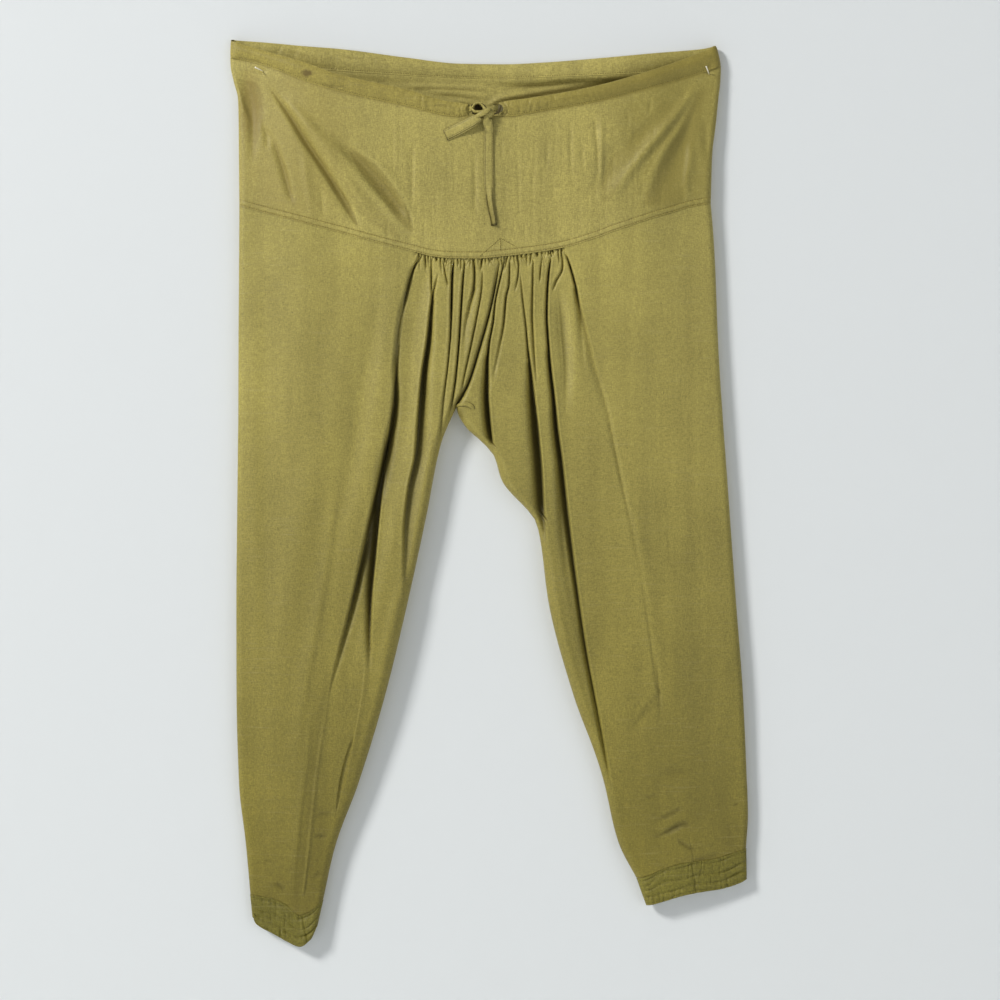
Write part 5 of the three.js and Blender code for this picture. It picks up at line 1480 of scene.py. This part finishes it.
hanging_line = tape_places(HANGING_END)
short_line = tape_places(SHORT_END)
hanging_end = tape_strip("drawstring_hanging_end_tape", hanging_line, [
    (0, TAPE["at_knot"]), (0.1, 9.4), (0.3, 10.4), (0.62, 10.2), (0.76, 9.2), (0.9, 8), (1, 6.6),
], folds=hanging_folds, end_shade=0.3)
short_end = tape_strip("drawstring_short_end_tape", short_line, [
    (0, TAPE["at_knot"]), (0.25, 10.4), (1, TAPE["width"]),
], 44, folds=short_folds)
short_layer = tape_strip("short_layer", short_line + np.array([0.9, 1.0, -2.1]), [
    (0, TAPE["at_knot"] - 2), (0.25, 9), (1, 10.4),
], 30)
short_end = joined("drawstring_short_end_tape", [short_end, short_layer])
waist_run = tape_strip("drawstring_waist_tape", waist_line(), [
    (0, TAPE["inside"]), (1, TAPE["inside"]),
], 120, upright=True)
knot = knot_tape()
in_shade = knot_shade()
crotch = crotch_edge()
pins = [pin_wire(f"{name}_wire", x, z, head) for name, x, z, head in PINS]

# Slot names by the first word that a piece's name holds; the loops below look one up but give no piece a slot
SLOTS = [("tape", "tape"), ("cuff", "cuff_cloth"), ("pin", "steel"), ("", "cloth")]


def first_of(table, name):
    return next(value for word, value in table if word in name)


for piece, node in [
    (left_leg_front, "leg_front_left"),
    (left_leg_back, "leg_back_left"),
    (right_leg_front, "leg_front_right"),
    (right_leg_back, "leg_back_right"),
    (front_yoke, "yoke_front_left"),
    (front_yoke, "yoke_front_right"),
    (back_yoke, "yoke_back"),
    (left_cuff, "cuff_left"),
    (right_cuff, "cuff_right"),
    (left_casing, "casing_front_left"),
    (right_casing, "casing_front_right"),
    (back_casing, "casing_back"),
    (hanging_end, "drawstring_hanging_end"),
    (short_end, "drawstring_short_end"),
    (knot, "drawstring_knot"),
    (waist_run, "drawstring_waist"),
    (in_shade, None),
    (crotch, None),
    (pins[0], "pin_left"),
    (pins[1], "pin_right"),
]:
    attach(piece, "root")
    if node:
        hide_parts(node)
    first_of(SLOTS, piece.name)

sewing = [
    seam_stitches(),
    centre_stitches(),
    casing_stitches("left_casing_stitches", front_left_path),
    casing_stitches("right_casing_stitches", front_right_path),
    casing_stitches("back_casing_stitches", back_path, back_lean_at),
    cuff_stitches(LEFT),
    cuff_stitches(RIGHT),
    tape_stitches(),
]
for piece in sewing:
    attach(piece, "root")
    first_of(SLOTS, piece.name)


def add_node(tree, kind, **inputs):
    node = tree.nodes.new(kind)
    for name, value in inputs.items():
        node.inputs[name.replace("_", " ")].default_value = value
    return node


PAINTED_FOLD_SHADE = 0.85  # how much of the painted fold shade's colour shows at the bottom of the deepest fold


def silk(name, base, dark, roughness=0.45, grain=1.0, marks=(), fold_shade_colour=(0.036, 0.027, 0.004)):
    """Olive-gold silky cloth: slub weave, soft sheen, uneven colour, a few specks, and painted shade.

    Each mark is a soft patch of colour: its middle, its reach each way, its colour and its strength.
    """
    made = bpy.data.materials.new(name)
    made.use_nodes = True
    tree = made.node_tree
    links = tree.links
    shader = tree.nodes["Principled BSDF"]
    shader.inputs["Roughness"].default_value = roughness
    shader.inputs["Specular IOR Level"].default_value = 0.32
    shader.inputs["Sheen Weight"].default_value = 0.08
    shader.inputs["Sheen Roughness"].default_value = 0.4
    shader.inputs["Sheen Tint"].default_value = (0.9, 0.8, 0.45, 1)
    place = tree.nodes.new("ShaderNodeTexCoord").outputs["Object"]

    def noise(stretch, detail, rough=0.5):
        spread = tree.nodes.new("ShaderNodeMapping")
        spread.inputs["Scale"].default_value = stretch
        links.new(place, spread.inputs["Vector"])
        made_noise = add_node(tree, "ShaderNodeTexNoise", Scale=1, Detail=detail, Roughness=rough)
        links.new(spread.outputs["Vector"], made_noise.inputs["Vector"])
        return made_noise.outputs["Fac"]

    def ranged(value, low, high, to_low=0.0, to_high=1.0):
        node = tree.nodes.new("ShaderNodeMapRange")
        for socket, number in zip(("From Min", "From Max", "To Min", "To Max"), (low, high, to_low, to_high)):
            node.inputs[socket].default_value = number
        links.new(value, node.inputs["Value"])
        return node.outputs["Result"]

    def mixed(factor, a, b, kind="MIX"):
        node = tree.nodes.new("ShaderNodeMix")
        node.data_type = "RGBA"
        node.blend_type = kind
        for value, socket in ((factor, node.inputs["Factor"]), (a, node.inputs["A"]), (b, node.inputs["B"])):
            if isinstance(value, (int, float, tuple)):
                socket.default_value = value
            else:
                links.new(value, socket)
        return node.outputs["Result"]

    def grey(value):
        node = tree.nodes.new("ShaderNodeCombineColor")
        for channel in ("Red", "Green", "Blue"):
            links.new(value, node.inputs[channel])
        return node.outputs["Color"]

    def together(a, b, operation):
        node = tree.nodes.new("ShaderNodeMath")
        node.operation = operation
        for value, socket in ((a, node.inputs[0]), (b, node.inputs[1])):
            if isinstance(value, (int, float)):
                socket.default_value = value
            else:
                links.new(value, socket)
        return node.outputs["Value"]

    # Painted shade: the colour darkens from base to dark towards the bottom, for the dimmer light there
    height = tree.nodes.new("ShaderNodeSeparateXYZ")
    links.new(place, height.inputs["Vector"])
    down = ranged(height.outputs["Z"], -0.95, -0.2)
    colour = mixed(down, (*dark, 1), (*base, 1))
    blotches = ranged(noise((12, 12, 8), 4, 0.6), 0.35, 0.68, 0.89, 1.07)
    streaks = ranged(noise((46, 46, 3.2), 3, 0.6), 0.35, 0.65, 0.93, 1.06)
    for shade in (blotches, streaks):
        colour = mixed(1.0, colour, grey(shade), "MULTIPLY")
    crosswise = noise((240, 240, 1100), 2, 0.6)
    lengthwise = noise((1100, 300, 240), 2, 0.6)
    speckle = noise((620, 620, 620), 1, 0.6)
    weave = together(together(crosswise, lengthwise, "ADD"), 0.5, "MULTIPLY")
    slubs = ranged(noise((30, 30, 520), 1), 0.6, 0.8)
    low, high = 1 - 0.2 * grain, 1 + 0.2 * grain
    colour = mixed(1.0, colour, grey(ranged(weave, 0.36, 0.64, low, high)), "MULTIPLY")
    colour = mixed(1.0, colour, grey(ranged(speckle, 0.3, 0.7, 0.9, 1.1)), "MULTIPLY")
    colour = mixed(together(slubs, 0.1, "MULTIPLY"), colour, (0.5, 0.43, 0.2, 1))
    specks = ranged(noise((420, 420, 420), 0), 0.84, 0.87)
    colour = mixed(together(specks, 0.5, "MULTIPLY"), colour, (0.09, 0.07, 0.02, 1))
    # Painted shade: a piece's painted fold shade darkens the colour towards the fold shade colour
    fold = tree.nodes.new("ShaderNodeAttribute")
    fold.attribute_name = "fold_depth"
    colour = mixed(together(fold.outputs["Fac"], PAINTED_FOLD_SHADE, "MULTIPLY"), colour, (*fold_shade_colour, 1))
    # Soft patches of colour: on the yoke's and the casings' copies, all painted shade but the left casing's
    # stain
    for middle_at, reach, mark_colour, strength in marks:
        spread = tree.nodes.new("ShaderNodeMapping")
        spread.vector_type = "TEXTURE"
        spread.inputs["Location"].default_value = middle_at
        spread.inputs["Scale"].default_value = reach
        links.new(place, spread.inputs["Vector"])
        ball = tree.nodes.new("ShaderNodeTexGradient")
        ball.gradient_type = "SPHERICAL"
        links.new(spread.outputs["Vector"], ball.inputs["Vector"])
        mottle = ranged(noise((260, 260, 260), 2), 0.3, 0.7, 0.5, 1.6)
        uneven = together(ball.outputs["Fac"], mottle, "MULTIPLY")
        colour = mixed(ranged(uneven, 0, 0.6, 0, strength), colour, (*mark_colour, 1))
    links.new(colour, shader.inputs["Base Color"])
    bump = add_node(tree, "ShaderNodeBump", Strength=0.45, Distance=0.0005)
    threads = together(together(weave, speckle, "ADD"), together(slubs, 0.5, "MULTIPLY"), "ADD")
    links.new(threads, bump.inputs["Height"])
    links.new(bump.outputs["Normal"], shader.inputs["Normal"])
    return made


def plain_finish(name, colour, roughness, metallic=0.0):
    made = bpy.data.materials.new(name)
    made.use_nodes = True
    inputs = made.node_tree.nodes["Principled BSDF"].inputs
    inputs["Base Color"].default_value = (*colour, 1)
    inputs["Roughness"].default_value = roughness
    inputs["Metallic"].default_value = metallic
    return made


BROWN = (0.1, 0.06, 0.015)
silk_cloth = silk("olive_silk", (0.366, 0.305, 0.078), (0.188, 0.152, 0.02), 0.5)
# Painted lighter for the light on the yoke; its marks are painted shade where the yoke turns from the light
yoke_silk = silk("olive_silk_yoke", (0.392, 0.326, 0.088), (0.27, 0.22, 0.05), 0.54, 1.2, marks=[
    ((-0.261, -0.02, -0.04), (0.016, 0.06, 0.05), (0.22, 0.15, 0.03), 0.55),
    ((-0.215, -0.02, -0.09), (0.09, 0.09, 0.13), (0.27, 0.205, 0.045), 0.4),
    ((0.225, -0.02, -0.07), (0.1, 0.09, 0.15), (0.235, 0.19, 0.035), 0.55),
], fold_shade_colour=(0.115, 0.078, 0.006))
# Painted darker as shade; its first mark is a brown stain, its second painted shade over the right casing
casing_silk = silk("olive_silk_casing", (0.325, 0.262, 0.058), (0.27, 0.21, 0.04), 0.54, 1.2, marks=[
    ((-0.197, -0.02, -0.006), (0.0085, 0.06, 0.0055), BROWN, 0.75),
    ((0.19, -0.02, 0), (0.2, 0.1, 0.1), (0.215, 0.17, 0.03), 0.6),
])
# The cuffs' copy is painted darker still, as shade for the dimmer light low down
cuff_silk = silk("olive_silk_cuff", (0.22, 0.185, 0.028), (0.165, 0.142, 0.019), 0.62, 1.5)
# The tape's copy has the yoke's colours, painted lighter for the light on it
tape_silk = silk("olive_silk_tape", (0.392, 0.326, 0.088), (0.27, 0.22, 0.05), 0.54, 1.2)
# Near black: painted shade, for the tape seen in the knot's hole and the right casing's mouth
shaded_silk = silk("olive_silk_in_shade", (0.07, 0.05, 0.01), (0.05, 0.035, 0.006), 0.7)
# The thread is painted darker than the cloth, as the shadows in the dents that the stitches pull in
thread = silk("olive_thread", (0.17, 0.13, 0.022), (0.1, 0.08, 0.012), 0.6)
steel = plain_finish("dull_steel", (0.95, 0.9, 0.76), 0.5, metallic=0.7)

# The first word that a piece's name holds gives its finish
FINISHES = [
    ("stitches", thread), ("pin_", steel), ("cuff", cuff_silk), ("yoke", yoke_silk),
    # The yoke's lighter copy goes on the back casing, as painted light; the front casings get the darker one
    ("back_casing", yoke_silk), ("casing", casing_silk), ("in_shade", shaded_silk),
    ("drawstring", tape_silk), ("", silk_cloth),
]

for piece in list(bpy.data.objects):
    if piece.type == "MESH":
        piece.data.materials.clear()
        piece.data.materials.append(first_of(FINISHES, piece.name))


def plane(name, size, place, turn):
    bm = bmesh.new()
    bmesh.ops.create_grid(bm, x_segments=1, y_segments=1, size=size)
    bmesh.ops.transform(bm, matrix=Matrix.Translation(place) @ turn, verts=bm.verts)
    return new_mesh(name, bm)


wall = plane("wall_backdrop", 4, (0, 0.0006, 0), Matrix.Rotation(math.pi / 2, 4, "X"))
floor = plane("floor", 4, (0, -3.5, -1.4), Matrix.Identity(4))
paint = plain_finish("white_wall", (0.735, 0.75, 0.745), 0.6)
floor.data.materials.append(paint)


def one_sided(name, plain):
    """The wall's paint, seen from the room and clear from behind, so the garment's back shows."""
    made = plain.copy()
    made.name = name
    tree = made.node_tree
    facing = tree.nodes.new("ShaderNodeNewGeometry")
    clear = tree.nodes.new("ShaderNodeBsdfTransparent")
    chosen = tree.nodes.new("ShaderNodeMixShader")
    tree.links.new(facing.outputs["Backfacing"], chosen.inputs[0])
    tree.links.new(tree.nodes["Principled BSDF"].outputs[0], chosen.inputs[1])
    tree.links.new(clear.outputs[0], chosen.inputs[2])
    tree.links.new(chosen.outputs[0], tree.nodes["Material Output"].inputs["Surface"])
    return made


wall.data.materials.append(one_sided("wall_paint", paint))
wall.visible_shadow = False

CAMERA_AWAY = 2.6
VIEW_WIDTH = 1.12  # the width of wall that the picture shows
SENSOR = 36
camera = bpy.data.objects.new("camera", bpy.data.cameras.new("camera"))
bpy.context.scene.collection.objects.link(camera)
bpy.context.scene.camera = camera
camera.location = (0.0185, -0.015 - CAMERA_AWAY, -0.482)
camera.rotation_euler = (math.pi / 2, 0, 0)
camera.data.sensor_width = SENSOR
camera.data.lens = SENSOR * CAMERA_AWAY / VIEW_WIDTH


def area_light(name, place, target, size, power, colour=(1, 1, 1)):
    light = bpy.data.objects.new(name, bpy.data.lights.new(name, "AREA"))
    light.data.size = size
    light.data.energy = power
    light.data.color = colour
    light.location = place
    light.rotation_euler = (Vector(target) - Vector(place)).to_track_quat("-Z", "Y").to_euler()
    bpy.context.scene.collection.objects.link(light)
    return light


area_light("key_light", (-5.6, -4.6, 3.8), (0, 0, -0.3), 1.55, 560)
area_light("fill_light", (2.4, -3, -0.5), (0.3, 0, -0.7), 2.4, 17)
# Behind the wall, which casts no shadow, so that the garment's back can be seen
area_light("back_light", (0.8, 3.3, 0.8), (0, 0, -0.45), 2.2, 60)
world = bpy.data.worlds.new("room")
bpy.context.scene.world = world
world.use_nodes = True
world.node_tree.nodes["Background"].inputs["Color"].default_value = (0.9, 0.95, 1, 1)
world.node_tree.nodes["Background"].inputs["Strength"].default_value = 0.3
bpy.context.scene.view_settings.view_transform = "Standard"
